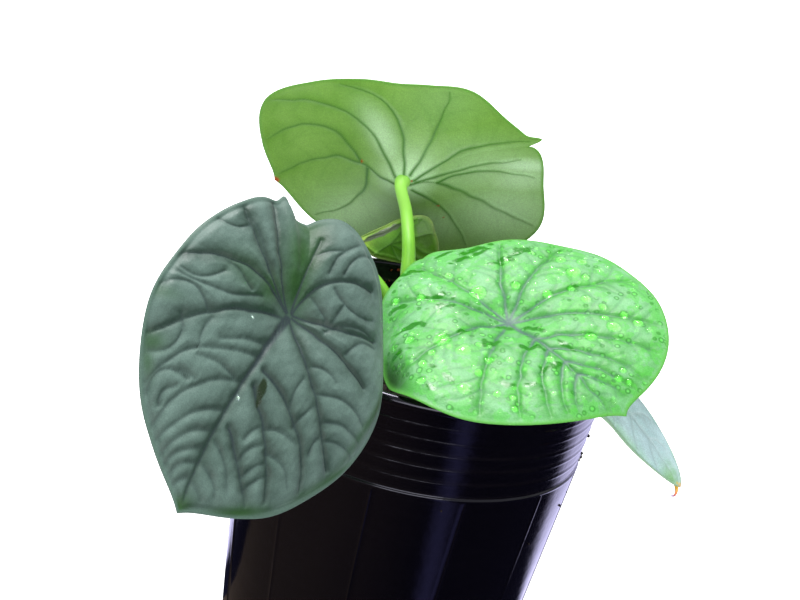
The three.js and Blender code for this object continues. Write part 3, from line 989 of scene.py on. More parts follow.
    def base_height(self, radius: Array, angle: Array, s: Array) -> Array:
        """Height over the plane without relief: funnel - cleft - rolled edge and curls - hem + wave + cup.

        Args:
            radius: Distances from the blade's origin, in mm.
            angle: Directions, in radians.
            s: Those distances as shares of the margin's.

        Returns:
            The heights, in mm.
        """
        depth, reach = self.funnel
        height, count, phase = self.wave
        curl = self.edge * s**4 + sum(bend.lobe(angle) * s**5 for bend in self.curls)
        across = radius * np.sin(angle)
        cup = np.where(across > 0, *self.cup) * across**2
        wave = height * s**3 * np.sin(count * angle + phase)
        hem = self.hem.lobe(angle) * smoothstep(s, 0.84, 1.02)
        return depth * (1 - bell(radius, reach)) - self.cleft.lobe(angle) * s**1.5 - curl - hem + wave + cup

    def survey(self, x: Array, y: Array) -> dict[str, Array]:
        """Everything that the blade's surface holds at some plane points.

        Args:
            x: Plane coordinate towards the tip, in mm.
            y: Plane coordinate across, in mm.

        Returns:
            In mm, height and base, the upper face with its relief and without, and drop, the thickness under
            it. From 0 to 1, what the finishes read: vein, crease, the painted relief shade, rim, tinge and
                painted
            light, wet spots and painted drop shade, and the painted highlight under each drop.
        """
        angle, radius = np.arctan2(y, x), np.hypot(x, y)
        reach = self.margin(angle)
        s = np.clip(radius / reach, 0, 1)
        inside = (1 - s) * reach
        waver = self.wobble * smoothstep(radius, 1, 9)
        wx = x + waver * ripples(x, y, 9, self.seed)
        wy = y + waver * ripples(x, y, 9, self.seed + 1)
        off, share = self.distance(self.main_veins, wx, wy)
        side_off, side_share = self.distance(self.side_veins, wx, wy)
        fade = smoothstep(radius, 2, 8) * (1 - smoothstep(s, 0.9, 1))
        far_fade = smoothstep(radius, 3, 9) * (1 - smoothstep(s, 0.95, 1))
        strength = 1 - 0.4 * side_share
        panel = 1 - np.exp(-((off / self.PANEL_RISE) ** 1.2))
        cell = 1 - strength * np.exp(-side_off / self.CELL_RISE)
        groove = bell(off, 0.95 - 0.4 * share)
        relief = self.relief
        height = (relief.puff * panel - relief.rib * groove) * fade
        height += relief.quilt * (cell - 0.7) * panel**0.5 * far_fade
        height += (0.08 * ripples(x, y, 5, self.seed + 2) + 0.03 * ripples(x, y, 2.2, self.seed + 3)) * fade
        height += self.margin_groove * (0.7 * bell(inside - 0.2, 0.6) - bell(inside - 1.5, 0.6))
        calm = self.under_calm * height
        base = self.base_height(radius, angle, s)
        height += base
        width = self.vein_width * (1.25 - 0.75 * share)
        middle, middle_share = self.distance(self.main_veins[:1], wx, wy)
        gap = self.midrib_gap * np.clip(1 - middle_share / 0.45, 0, 1)
        midrib = bell(middle - gap, self.midrib_width * (1.15 - middle_share)) * (1 - 0.4 * middle_share)
        vein = np.maximum(bell(off, width) * (1 - self.vein_fade * share), midrib)
        rib = relief.under * bell(off, 1.1 * width + 0.2) * (1 - 0.5 * share)
        # Painted highlight: a bright core under each drop.
        cores = [Spot(a, b, self.DEW_SHARE * size, self.DEW_SHARE * size) for a, b, size in self.dew_and_glow]
        return {
            "height": height,
            "base": base,
            "drop": self.thickness - (self.thickness - self.edge_thickness) * s**6 + rib + calm,
            "vein": vein * (1 - smoothstep(s, 0.93, 1)),
            "crease": strength * bell(side_off, self.CREASE_WIDTH) * far_fade,
            # Painted shade: this share is low in the creases and near the veins, where shade falls.
            "painted_relief_shade": 0.05 + 0.42 * cell * panel + 0.28 * panel,
            "rim": bell(inside, self.RIM_WIDTH),
            "tinge_and_painted_light": self.spots(self.tinges_and_painted_light, x, y, soft=True),
            # Painted shade round the larger drops joins the wet spots in one share.
            "wet_and_shade": np.maximum(self.spots(self.puddles_and_shade, x, y, soft=False), self.drop_shade_rim(x, y)),
            "dew_and_glow": self.spots(cores, x, y, soft=True),
        }

    def spots(self, rows: Sequence[Spot], x: Array, y: Array, soft: bool) -> Array:
        """Shares of 0 to 1 that are high on some oval spots.

        Args:
            rows: The spots.
            x: Plane coordinate towards the tip.
            y: Plane coordinate across.
            soft: Whether the spots fade out slowly, or end at a wavy line.

        Returns:
            The highest share of any spot at each point.
        """
        best = np.zeros(x.shape)
        warp = 0.0 if soft else self.spot_waver * ripples(x, y, 3.2, self.seed + 7)
        for spot in rows:
            c, t = math.cos(math.radians(spot.turned)), math.sin(math.radians(spot.turned))
            u = ((x - spot.x) * c + (y - spot.y) * t) / spot.length
            v = (-(x - spot.x) * t + (y - spot.y) * c) / spot.width
            far = np.hypot(u, v) + warp
            share = bell(far, 1.0) if soft else 1 - smoothstep(far, 0.8, 1.15)
            best = np.maximum(best, spot.strength * share)
        return best

    def drop_shade_rim(self, x: Array, y: Array) -> Array:
        """Painted shade round each drop but the smallest, darker on the side away from the tip.

        Args:
            x: Plane coordinate towards the tip.
            y: Plane coordinate across.

        Returns:
            Shares of 0 to 1: exp(-((far - r) / width)^2) at the distance far from a drop of radius r.
        """
        best = np.zeros(x.shape)
        for a, b, size in self.dew_and_glow:
            if size < self.SHADE_RIM_LEAST:
                continue
            far = np.hypot(x - a, y - b)
            side = 0.6 + 0.4 * np.cos(np.arctan2(y - b, x - a) - 2.6)
            best = np.maximum(best, side * bell(far - size, self.SHADE_RIM_WIDTH))
        return best

    def place(self, x: Array, y: Array, height: Array) -> Array:
        """Points of the frame from plane coordinates and a height, in mm."""
        parts = zip((x, y + self.sweep * x**2, height), (self.along, self.across, self.up))
        return np.array(self.at) + sum(value[..., None] * axis for value, axis in parts)

    @staticmethod
    def facing_up(points: Array) -> Array:
        """How much a grid of points faces up: the height of its unit normal."""
        normal = np.cross(np.gradient(points, axis=1), np.gradient(points, axis=0))
        return np.abs(normal[..., 2]) / np.maximum(np.linalg.norm(normal, axis=-1), 1e-9)

    def plane_grid(self) -> tuple[Array, Array]:
        """A square grid mapped onto the leaf, where the square's rings become rings out to the margin.

        Returns:
            Both plane coordinates of the points.
        """
        line = np.linspace(-1, 1, self.cells + 1)
        a, b = np.meshgrid(line, line, indexing="xy")
        wide = np.abs(a) > np.abs(b)
        s = np.maximum(np.abs(a), np.abs(b))
        safe_a, safe_b = np.where(wide, a, 1.0), np.where(wide | (b == 0), 1.0, b)
        sector = np.where(wide, np.pi / 4 * b / safe_a, np.pi / 2 - np.pi / 4 * a / safe_b)
        angle = turn(sector + np.where(np.where(wide, a, b) < 0, np.pi, 0), 0)
        radius = s * self.margin(angle)
        return radius * np.cos(angle), radius * np.sin(angle)

    def build(self) -> bpy.types.Object:
        """Builds the blade: upper and lower face on the same grid, joined round a rounded margin.

        Returns:
            The piece.
        """
        x, y = self.plane_grid()
        facts = self.survey(x, y)
        upper = self.place(x, y, facts["height"])
        lower = self.place(x, y, facts["height"] - facts["drop"])
        # Painted light: flanks of the relief that face up are drawn lighter, and those that face down darker.
        slope = self.facing_up(upper) - self.facing_up(self.place(x, y, facts["base"]))
        facts["painted_relief_shade"] = np.clip(facts["painted_relief_shade"] + self.painted_light_gain * slope, 0, 1)
        row = self.cells + 1
        count = row * row
        side = np.arange(self.cells)
        loop = np.concatenate([side, side * row + self.cells, count - 1 - side, (self.cells - side) * row])
        upper, lower = upper.reshape(-1, 3), lower.reshape(-1, 3)
        rim = (upper[loop] + lower[loop]) / 2
        outward = np.stack([x.ravel()[loop], y.ravel()[loop]], axis=-1)
        outward /= np.hypot(*outward.T)[:, None]
        rim += 0.5 * self.edge_thickness * (outward[:, :1] * self.along + outward[:, 1:] * self.across)
        faces = grid_faces(row, row, False)
        under = [[p + count for p in reversed(face)] for face in faces]
        bead = 2 * count + np.arange(len(loop))
        ahead = np.roll(loop, -1)
        bead_ahead = np.roll(bead, -1)
        wall = np.concatenate(
            [
                np.stack([loop, bead, bead_ahead, ahead], axis=-1),
                np.stack([bead, loop + count, ahead + count, bead_ahead], axis=-1),
            ]
        )
        values = {}
        for key in ("vein", "crease", "painted_relief_shade", "rim", "tinge_and_painted_light", "wet_and_shade", "dew_and_glow"):
            flat = facts[key].ravel()
            values[key] = np.concatenate([flat, flat, flat[loop]])
        values["crease"][count : 2 * count] *= self.UNDER_CREASE
        dry = slice(count, 2 * count) if self.wet_side is Side.UPPER else slice(0, count)
        values["wet_and_shade"][dry] = 0.0
        sides = [Side.UPPER.value, Side.UNDER.value] * 2
        finish_of = np.repeat(sides, [len(faces), len(under), len(loop), len(loop)])
        form = Form(np.concatenate([upper, lower, rim]), faces + under + wall.tolist(), finish_of, values)
        piece = form.mesh(f"leaf_{self.name}", [self.upper.material(), self.under.material()])
        return settle(piece, self.slot, f"blade_{self.name}")


@dataclass
class Stem:
    """A leaf stem by way of its stalk's points, with a sheath at its foot and fine lengthwise ribs."""

    blade: Blade
    finish: StemFinish
    crown: tuple[float, float] = CROWN_PLACE
    soil_level: float = SOIL_LEVEL
    sides: int = 24
    steps: int = 72
    sheath: float = 0.35

    def leaving(self, far: float, height: float) -> Point:
        """A point on the way out of the crown, by its distance from the axis and its height, in mm."""
        leave = math.radians(self.blade.stalk.exit)
        return (self.crown[0] + far * math.cos(leave), self.crown[1] + far * math.sin(leave), height)

    def route(self) -> Array:
        """The points that the stem passes: out of the crown, by the stalk's own points, up to the blade."""
        stalk = self.blade.stalk
        x, y = stalk.arrive
        at = np.array(self.blade.at) + x * self.blade.along + y * self.blade.across
        ends = [at - self.blade.up * stalk.reach, at - self.blade.up * 0.45]
        start = [self.leaving(3, self.soil_level + 2), self.leaving(8, self.soil_level + 9)]
        return np.array([*start, *stalk.via, *ends])

    @staticmethod
    def centreline(points: Array, steps: int) -> Array:
        """A centripetal Catmull-Rom curve through the points, at even steps of its length.

        Args:
            points: The points that it passes.
            steps: How many steps it is cut into.

        Returns:
            The points on the curve.
        """
        padded = np.concatenate([[2 * points[0] - points[1]], points, [2 * points[-1] - points[-2]]])
        gaps = np.sqrt(np.linalg.norm(np.diff(padded, axis=0), axis=1))[:, None]
        pieces = []
        for i in range(1, len(padded) - 2):
            a, b, c, d = padded[i - 1 : i + 3]
            first, middle, last = gaps[i - 1 : i + 2]
            leave = middle * ((b - a) / first - (c - a) / (first + middle) + (c - b) / middle)
            arrive = middle * ((c - b) / middle - (d - b) / (middle + last) + (d - c) / last)
            t = np.linspace(0, 1, 25)[:-1, None]
            cubic = 2 * b - 2 * c + leave + arrive
            square = -3 * b + 3 * c - 2 * leave - arrive
            pieces.append(b + leave * t + square * t**2 + cubic * t**3)
        curve = np.concatenate([*pieces, points[-1:]])
        travelled = np.concatenate([[0], np.cumsum(np.linalg.norm(np.diff(curve, axis=0), axis=1))])
        even = np.linspace(0, travelled[-1], steps + 1)
        return np.stack([np.interp(even, travelled, curve[:, axis]) for axis in range(3)], axis=-1)

    def build(self) -> bpy.types.Object:
        """Builds the stem: a round section carried along the route.

        The radius is top + (base - top)(1 - t)^1.6, wider by a bell curve at the foot and at the blade, with
        a groove on the inner side of the sheath and fine ribs of sin(9 angle).

        Returns:
            The piece.
        """
        centre = self.centreline(self.route(), self.steps)
        leave = math.radians(self.blade.stalk.exit)
        sideways = np.array([-math.sin(leave), math.cos(leave), 0.0])
        t = np.linspace(0, 1, self.steps + 1)[:, None]
        angle = around(self.sides)
        base, top = self.blade.stalk.radii
        foot = bell(t, 0.12)
        radius = top + (base - top) * (1 - t) ** 1.6
        radius = radius * (1 + self.sheath * foot + 0.35 * bell(1 - t, 0.035))
        groove = foot * 0.35 * bell(turn(angle, math.pi / 2), 0.5)
        radius = radius * (1 - groove + 0.012 * np.sin(9 * angle + 3 * t) + 0.02 * np.sin(2 * angle + 9 * t))
        points, faces = tube(centre, sideways, radius)
        length = np.linalg.norm(np.diff(centre, axis=0), axis=1).sum()
        wide = np.ones_like(angle)
        skin = np.stack([np.cos(angle) + 0 * t, np.sin(angle) + 0 * t, t * length / 3 * wide], axis=-1)
        ends = np.array([[0, 0, 0], [0, 0, length / 3]])
        values = {
            "top": np.concatenate([(smoothstep(t, 0.55, 1.0) * wide).ravel(), [0, 1]]),
            "foot": np.concatenate([(bell(t, 0.1) * wide).ravel(), [1, 0]]),
        }
        form = Form(points, faces, None, values, {"skin": np.concatenate([skin.reshape(-1, 3), ends])})
        piece = form.mesh(f"petiole_{self.blade.name}", [self.finish.material()])
        return settle(piece, Slot.STEM, f"stem_{self.blade.name}")


@dataclass
class Pot:
    """The nursery pot, on the frame's profile with a lower ledge, finer rings and a round lip."""

    height: float = 116.0
    rim_radius: float = 64.0
    collar_radius: float = 59.8
    ledge_height: float = 83.4
    ledge_radius: float = 57.2
    shoulder_radius: float = 57.5
    foot_radius: float = 48.5
    wall: float = 1.3
    floor: float = 1.8
    lip_height: float = 4.0
    ring_count: int = 6
    ring_proud: float = 0.16
    ledge_proud: float = 0.3
    drain_count: int = 8
    drain_radius: float = 3.5
    drain_circle: float = 36.0
    seam_count: int = 12
    seam_phase: float = -97.8
    seam_proud: float = 0.28
    seam_width: float = 0.3
    finish: PlasticFinish = field(default_factory=PlasticFinish)

    NEAR_HOLE = np.linspace(-2, 2, 9)
    NEAR_SEAM = np.array([-1.6, -0.8, -0.4, 0, 0.4, 0.8, 1.6])

    def wall_radius(self, height: Array) -> Array:
        """Radius of the plain outer wall, which widens evenly from the foot to the ledge."""
        return self.foot_radius + (self.shoulder_radius - self.foot_radius) * height / self.ledge_height

    def collar(self) -> Array:
        """Outline of the ringed collar: an evenly widening wall with beads and a shallow groove over each."""
        top = self.height - self.lip_height
        z = np.linspace(self.ledge_height - 1.2, top, 100)
        place = (z - self.ledge_height) / (top - self.ledge_height)
        base = self.ledge_radius + (self.collar_radius - self.ledge_radius) * place
        base = np.where(z < self.ledge_height, self.wall_radius(z), base)
        number = np.arange(self.ring_count)
        rings = self.ledge_height - 0.3 + number * (top - self.ledge_height) / self.ring_count
        proud = np.where(number == 0, self.ledge_proud, self.ring_proud)
        bead = (proud * bell(z[:, None] - rings, 0.42)).sum(axis=1)
        groove = bell(z[:, None] - rings - 1.1, 0.45).sum(axis=1)
        return np.stack([base + bead - 0.05 * groove, z], axis=-1)

    def outline(self) -> Array:
        """The whole outline, from the middle of the underside round to the middle of the floor's top.

        Returns:
            Rows of radius and height.
        """
        holes = self.drain_circle + self.drain_radius * self.NEAR_HOLE
        level = np.concatenate([[4, 12, 20, 26], holes, [44.5]])
        z = np.linspace(1, self.ledge_height - 1.6, 44)
        wall = np.stack([self.wall_radius(z), z], axis=-1)
        bend = np.linspace(-0.7, 1.05, 12) * np.pi
        lip_radius = self.lip_height / 2 - 0.2
        middle = (self.rim_radius - lip_radius, self.height - lip_radius)
        lip_r, lip_z = middle[0] + lip_radius * np.cos(bend), middle[1] + lip_radius * np.sin(bend)
        lip = np.stack([lip_r, lip_z], axis=-1)
        inner_z = np.linspace(self.height - self.lip_height - 1, self.ledge_height + 1, 12)
        place = (inner_z - self.ledge_height) / (self.height - self.lip_height - self.ledge_height)
        inner_r = self.ledge_radius + (self.collar_radius - self.ledge_radius) * place - self.wall
        low_z = np.linspace(self.ledge_height - 2, self.floor, 16)
        return np.concatenate(
            [
                np.stack([level, np.zeros(len(level))], axis=-1),
                [[self.foot_radius - 1, 0], [self.foot_radius - 0.3, 0.3]],
                wall,
                self.collar(),
                lip,
                np.stack([inner_r, inner_z], axis=-1),
                np.stack([self.wall_radius(low_z) - self.wall, low_z], axis=-1),
                np.stack([level[::-1], np.full(len(level), self.floor)], axis=-1),
            ]
        )

    def columns(self) -> Array:
        """Angles of the pot's columns: even ones, with more at each seam and each drain hole."""
        even = np.arange(0, 360, 2.5)
        seams = self.seam_phase + np.arange(self.seam_count) * 360 / self.seam_count
        near_seam = np.degrees(self.NEAR_SEAM * self.seam_width / self.foot_radius)
        holes = np.arange(self.drain_count) * 360 / self.drain_count
        near_hole = np.degrees(self.drain_radius * self.NEAR_HOLE / self.drain_circle)
        special = np.concatenate([(seams[:, None] + near_seam).ravel(), (holes[:, None] + near_hole).ravel()])
        special %= 360
        clear = np.abs((even[:, None] - special[None] + 180) % 360 - 180).min(axis=1) > 0.9
        return np.radians(np.sort(np.concatenate([even[clear], special])))

    def build(self) -> bpy.types.Object:
        """Builds the pot: the outline turned about the axis, with seams on the wall and drain holes."""
        outline, angle = self.outline(), self.columns()
        radius, z = (np.repeat(outline[:, axis, None], len(angle), axis=1) for axis in (0, 1))
        angle = np.broadcast_to(angle[None], radius.shape)
        seams = np.radians(self.seam_phase + np.arange(self.seam_count) * 360 / self.seam_count)
        off = np.min(np.abs(turn(angle[..., None], 0) - turn(seams, 0)), axis=-1) * radius
        outer = radius > self.wall_radius(z) - 0.5 * self.wall
        below = smoothstep(z, 2, 6) * (1 - smoothstep(z, self.ledge_height - 1.6, self.ledge_height - 1.2))
        radius = radius + self.seam_proud * bell(off, self.seam_width) * below * outer
        give = 0.12 * np.sin(3 * angle + 0.8) + 0.08 * np.sin(5 * angle + 2)
        radius = radius + give * smoothstep(z, 5, 60)
        x, y, removed = self.open_drains(radius * np.cos(angle), radius * np.sin(angle), radius, angle, z)
        shell = np.stack([x, y, z], axis=-1).reshape(-1, 3)
        points = np.concatenate([shell, [[0, 0, 0], [0, 0, self.floor]]])
        row = len(angle[0])
        faces = np.array(grid_faces(len(outline), row, True))
        faces = faces[~removed.ravel()[faces].all(axis=1)].tolist()
        faces += end_caps((len(outline) - 1) * row, row, len(points))
        skin = points / self.rim_radius
        top = self.height - self.lip_height
        pitch = (top - self.ledge_height) / self.ring_count
        part = np.mod(z - self.ledge_height - 0.8, pitch)
        ringed = (z > self.ledge_height) & (z < top) & outer
        groove = np.where(ringed, bell(np.minimum(part, pitch - part), 0.5), 0.0) * 0.3
        values = {"groove": np.concatenate([groove.ravel(), [0, 0]])}
        form = Form(points, faces, None, values, {"skin": skin})
        piece = form.mesh("nursery_pot", [self.finish.material()])
        self.close_drains(piece)
        return settle(piece, Slot.POT, "pot")

    def open_drains(
        self, x: Array, y: Array, radius: Array, angle: Array, z: Array
    ) -> tuple[Array, Array, Array]:
        """Bends the floor's grid round each drain hole, so that a square of cells becomes the round hole.

        Args:
            x: First coordinate of the pot's points.
            y: Second coordinate of the pot's points.
            radius: Their distance from the axis.
            angle: Their direction.
            z: Their height.

        Returns:
            The new coordinates, and which points lie in a hole or on its edge.
        """
        pitch = 2 * np.pi / self.drain_count
        nearest = np.round(angle / pitch) * pitch
        u = radius - self.drain_circle
        v = self.drain_circle * (angle - nearest)
        size = np.maximum(np.abs(u), np.abs(v))
        floor = (z <= self.floor + 1e-6) & (radius < self.foot_radius - 2)
        near = floor & (size < 2 * self.drain_radius - 1e-6)
        far = np.maximum(np.hypot(u, v), 1e-6)
        share = smoothstep(size, self.drain_radius, 2 * self.drain_radius)
        scale = (1 - share) * size / far + share
        cx, cy = self.drain_circle * np.cos(nearest), self.drain_circle * np.sin(nearest)
        bent_x = cx + scale * (u * np.cos(nearest) - v * np.sin(nearest))
        bent_y = cy + scale * (u * np.sin(nearest) + v * np.cos(nearest))
        removed = floor & (size < self.drain_radius + 1e-3)
        return np.where(near, bent_x, x), np.where(near, bent_y, y), removed

    def close_drains(self, piece: bpy.types.Object) -> None:
        """Gives each drain hole its wall: the open edge above is joined to the one below it."""
        shape = bmesh.new()
        shape.from_mesh(piece.data)
        bmesh.ops.delete(shape, geom=[v for v in shape.verts if not v.link_faces], context="VERTS")
        open_edges = [edge for edge in shape.edges if edge.is_boundary]
        pitch = 2 * math.pi / self.drain_count
        holes: dict[int, list[bmesh.types.BMEdge]] = {}
        for edge in open_edges:
            middle = (edge.verts[0].co + edge.verts[1].co) / 2
            number = round(math.atan2(middle.y, middle.x) / pitch) % self.drain_count
            holes.setdefault(number, []).append(edge)
        for edges in holes.values():
            bmesh.ops.bridge_loops(shape, edges=edges)
        bmesh.ops.recalc_face_normals(shape, faces=shape.faces)
        for face in shape.faces:
            face.smooth = True
        shape.to_mesh(piece.data)
        shape.free()


@dataclass
class Soil:
    """The potting mix: a crumbly top on the frame's own lumps, plain sides, and loose crumbs."""

    level: float = SOIL_LEVEL
    mound: float = 3.0
    crumb: float = 0.9
    edge_radius: float = 55.8
    crown: tuple[float, float] = CROWN_PLACE
    rings: int = 90
    sectors: int = 220
    loose: int = 420
    finish: SoilFinish = field(default_factory=SoilFinish)

    def height(self, x: Array, y: Array) -> Array:
        """Height of the top: a mound at the crown, and lumps of three crossed waves, as in the frame."""
        mound = self.mound * bell(np.hypot(x - self.crown[0], y - self.crown[1]), 22)
        lumps = np.sin(0.31 * x + 1.1) * np.cos(0.27 * y) + 0.7 * np.sin(0.53 * y - 0.41 * x)
        crumbs = 0.5 * np.sin(0.9 * x + 0.8 * y) * np.cos(0.85 * x - 0.7 * y + 2)
        return self.level + mound + self.crumb * (lumps + crumbs)

    def fine_height(self, x: Array, y: Array) -> Array:
        """The top with finer crumbs: folded random ripples, with round lumps and sharp gaps."""
        folds = 0.5 - np.abs(ripples(x, y, 6.0, 41)) - 0.5 * np.abs(ripples(x, y, 2.8, 42))
        return self.height(x, y) + 0.9 * folds + 0.25 * ripples(x, y, 1.6, 43)

    def build(self) -> list[bpy.types.Object]:
        """Builds the body of the soil and its loose crumbs."""
        material = self.finish.material()
        radius = self.edge_radius * np.linspace(1, 0, self.rings + 1)[:-1, None]
        angle = around(self.sectors)
        x, y = radius * np.cos(angle), radius * np.sin(angle)
        top = np.stack([x, y, self.fine_height(x, y)], axis=-1)
        side = [(46.9, 2.1), (55.9, 84.0), (55.5, 89.0)]
        rows = [np.stack([r * np.cos(angle), r * np.sin(angle), z + 0 * angle], axis=-1) for r, z in side]
        centre = float(self.fine_height(np.array(0.0), np.array(0.0)))
        middle = [[0, 0, side[0][1]], [0, 0, centre]]
        points = np.concatenate([np.concatenate([*rows, top]).reshape(-1, 3), middle])
        total = len(side) + self.rings
        faces = grid_faces(total, self.sectors, True)
        faces += end_caps((total - 1) * self.sectors, self.sectors, len(points))
        tone = np.clip(ripples(points[:, 0], points[:, 1], 3, 44) - 0.9, 0, 0.5)
        body = Form(points, faces, None, {"tone": tone}).mesh("soil_body", [material])
        settle(body, Slot.SOIL, "soil")
        return [body, self.build_crumbs(material)]

    def build_crumbs(self, material: bpy.types.Material) -> bpy.types.Object:
        """Loose crumbs and fibre bits strewn on the soil, each a small uneven ball or chip, in one mesh."""
        draw = np.random.default_rng(7)
        radius = (self.edge_radius - 2.5) * np.sqrt(draw.uniform(0.03, 1, self.loose))
        angle = draw.uniform(0, 2 * np.pi, self.loose)
        x, y = radius * np.cos(angle), radius * np.sin(angle)
        rust = draw.uniform(size=self.loose) < 0.3
        size = draw.uniform(0.5, 1.9, self.loose) ** 1.2 * np.where(rust, 0.5, 1.0)
        place = np.stack([x, y, self.fine_height(x, y) + 0.3 * size], axis=-1)
        tone = np.where(rust, draw.uniform(0.35, 0.9, self.loose), 0.0)
        piece = lumps("soil_crumbs", place, size, tone, material, seed=8)
        return settle(piece, Slot.SOIL)


def lumps(
    name: str, place: Array, size: Array, tone: Array, material: bpy.types.Material, seed: int
) -> bpy.types.Object:
    """Many small uneven lumps in one mesh.

    Args:
        name: The piece's name.
        place: Their middles, in mm.
        size: Their radii, in mm.
        tone: The tone value of each.
        material: Their material.
        seed: Picks their shapes.

    Returns:
        The piece. Each lump is a ball of four rings of seven points and two poles, stretched, turned and
        dented at random.
    """
    draw = np.random.default_rng(seed)
    rings, sides = 4, 7
    polar = np.linspace(0, np.pi, rings + 2)[1:-1, None]
    angle = around(sides)
    level = np.cos(polar) + 0 * angle
    ball = np.stack([np.sin(polar) * np.cos(angle), np.sin(polar) * np.sin(angle), level], axis=-1)
    ball = np.concatenate([ball.reshape(-1, 3), [[0, 0, 1], [0, 0, -1]]])
    count = len(size)
    stretch = draw.uniform(0.55, 1.25, (count, 1, 3))
    dents = 1 + draw.uniform(-0.22, 0.22, (count, len(ball), 1))
    spin = np.linalg.qr(draw.normal(size=(count, 3, 3)))[0]
    spin *= np.sign(np.linalg.det(spin))[:, None, None]
    points = (ball[None] * stretch * dents) @ spin * size[:, None, None] + place[:, None]
    top, bottom = rings * sides, rings * sides + 1
    faces = [face[::-1] for face in grid_faces(rings, sides, True)]
    ends = np.arange(sides)
    ahead = np.roll(ends, -1)
    faces += [[int(a), int(b), top] for a, b in zip(ends, ahead)]
    low = (rings - 1) * sides
    faces += [[int(low + b), int(low + a), bottom] for a, b in zip(ends, ahead)]
    every = repeated(faces, count, len(ball))
    form = Form(points.reshape(-1, 3), every, None, {"tone": np.repeat(tone, len(ball))})
    return form.mesh(name, [material])


@dataclass
class Crown:
    """The short ringed rhizome in the soil that the stems grow from."""

    centre: tuple[float, float] = CROWN_PLACE
    foot: float = 72.0
    top: float = 112.0
    radius: float = 9.0
    sides: int = 64
    steps: int = 90
    scars: int = 9
    finish: CrownFinish = field(default_factory=CrownFinish)

    def build(self) -> bpy.types.Object:
        """Builds the crown: the frame's swelling body with a raised torn ring at each leaf scar."""
        t = np.linspace(0, 1, self.steps + 1)[:, None]
        angle = around(self.sides)
        swell = self.radius * (1 - 2.16 * np.abs(t - 0.55) ** 2.2)
        body = swell * np.sqrt(np.clip(1 - (2 * t - 1) ** 12, 0, 1))
        slant = 0.025 * np.sin(angle + 14 * t) + 0.008 * np.sin(5 * angle)
        ring = np.mod((t + slant) * self.scars, 1.0)
        scar = bell(ring - 0.8, 0.12)
        radius = body + (0.35 * scar + 0.2 * np.sin(3 * angle + 8 * t)) * (body > 1)
        z = self.foot + (self.top - self.foot) * t + 0 * angle
        x, y = self.centre[0] + radius * np.cos(angle), self.centre[1] + radius * np.sin(angle)
        points = np.stack([x, y, z], axis=-1)[1:-1].reshape(-1, 3)
        points = np.concatenate([points, [[*self.centre, self.foot], [*self.centre, self.top]]])
        faces = grid_faces(self.steps - 1, self.sides, True)
        faces += end_caps((self.steps - 2) * self.sides, self.sides, len(points))
        scars = np.concatenate([np.broadcast_to(scar, z.shape)[1:-1].ravel(), [0, 0]])
        form = Form(points, faces, None, {"scar": scars})
        piece = form.mesh("crown_rhizome", [self.finish.material()])
        return settle(piece, Slot.CROWN, "crown")


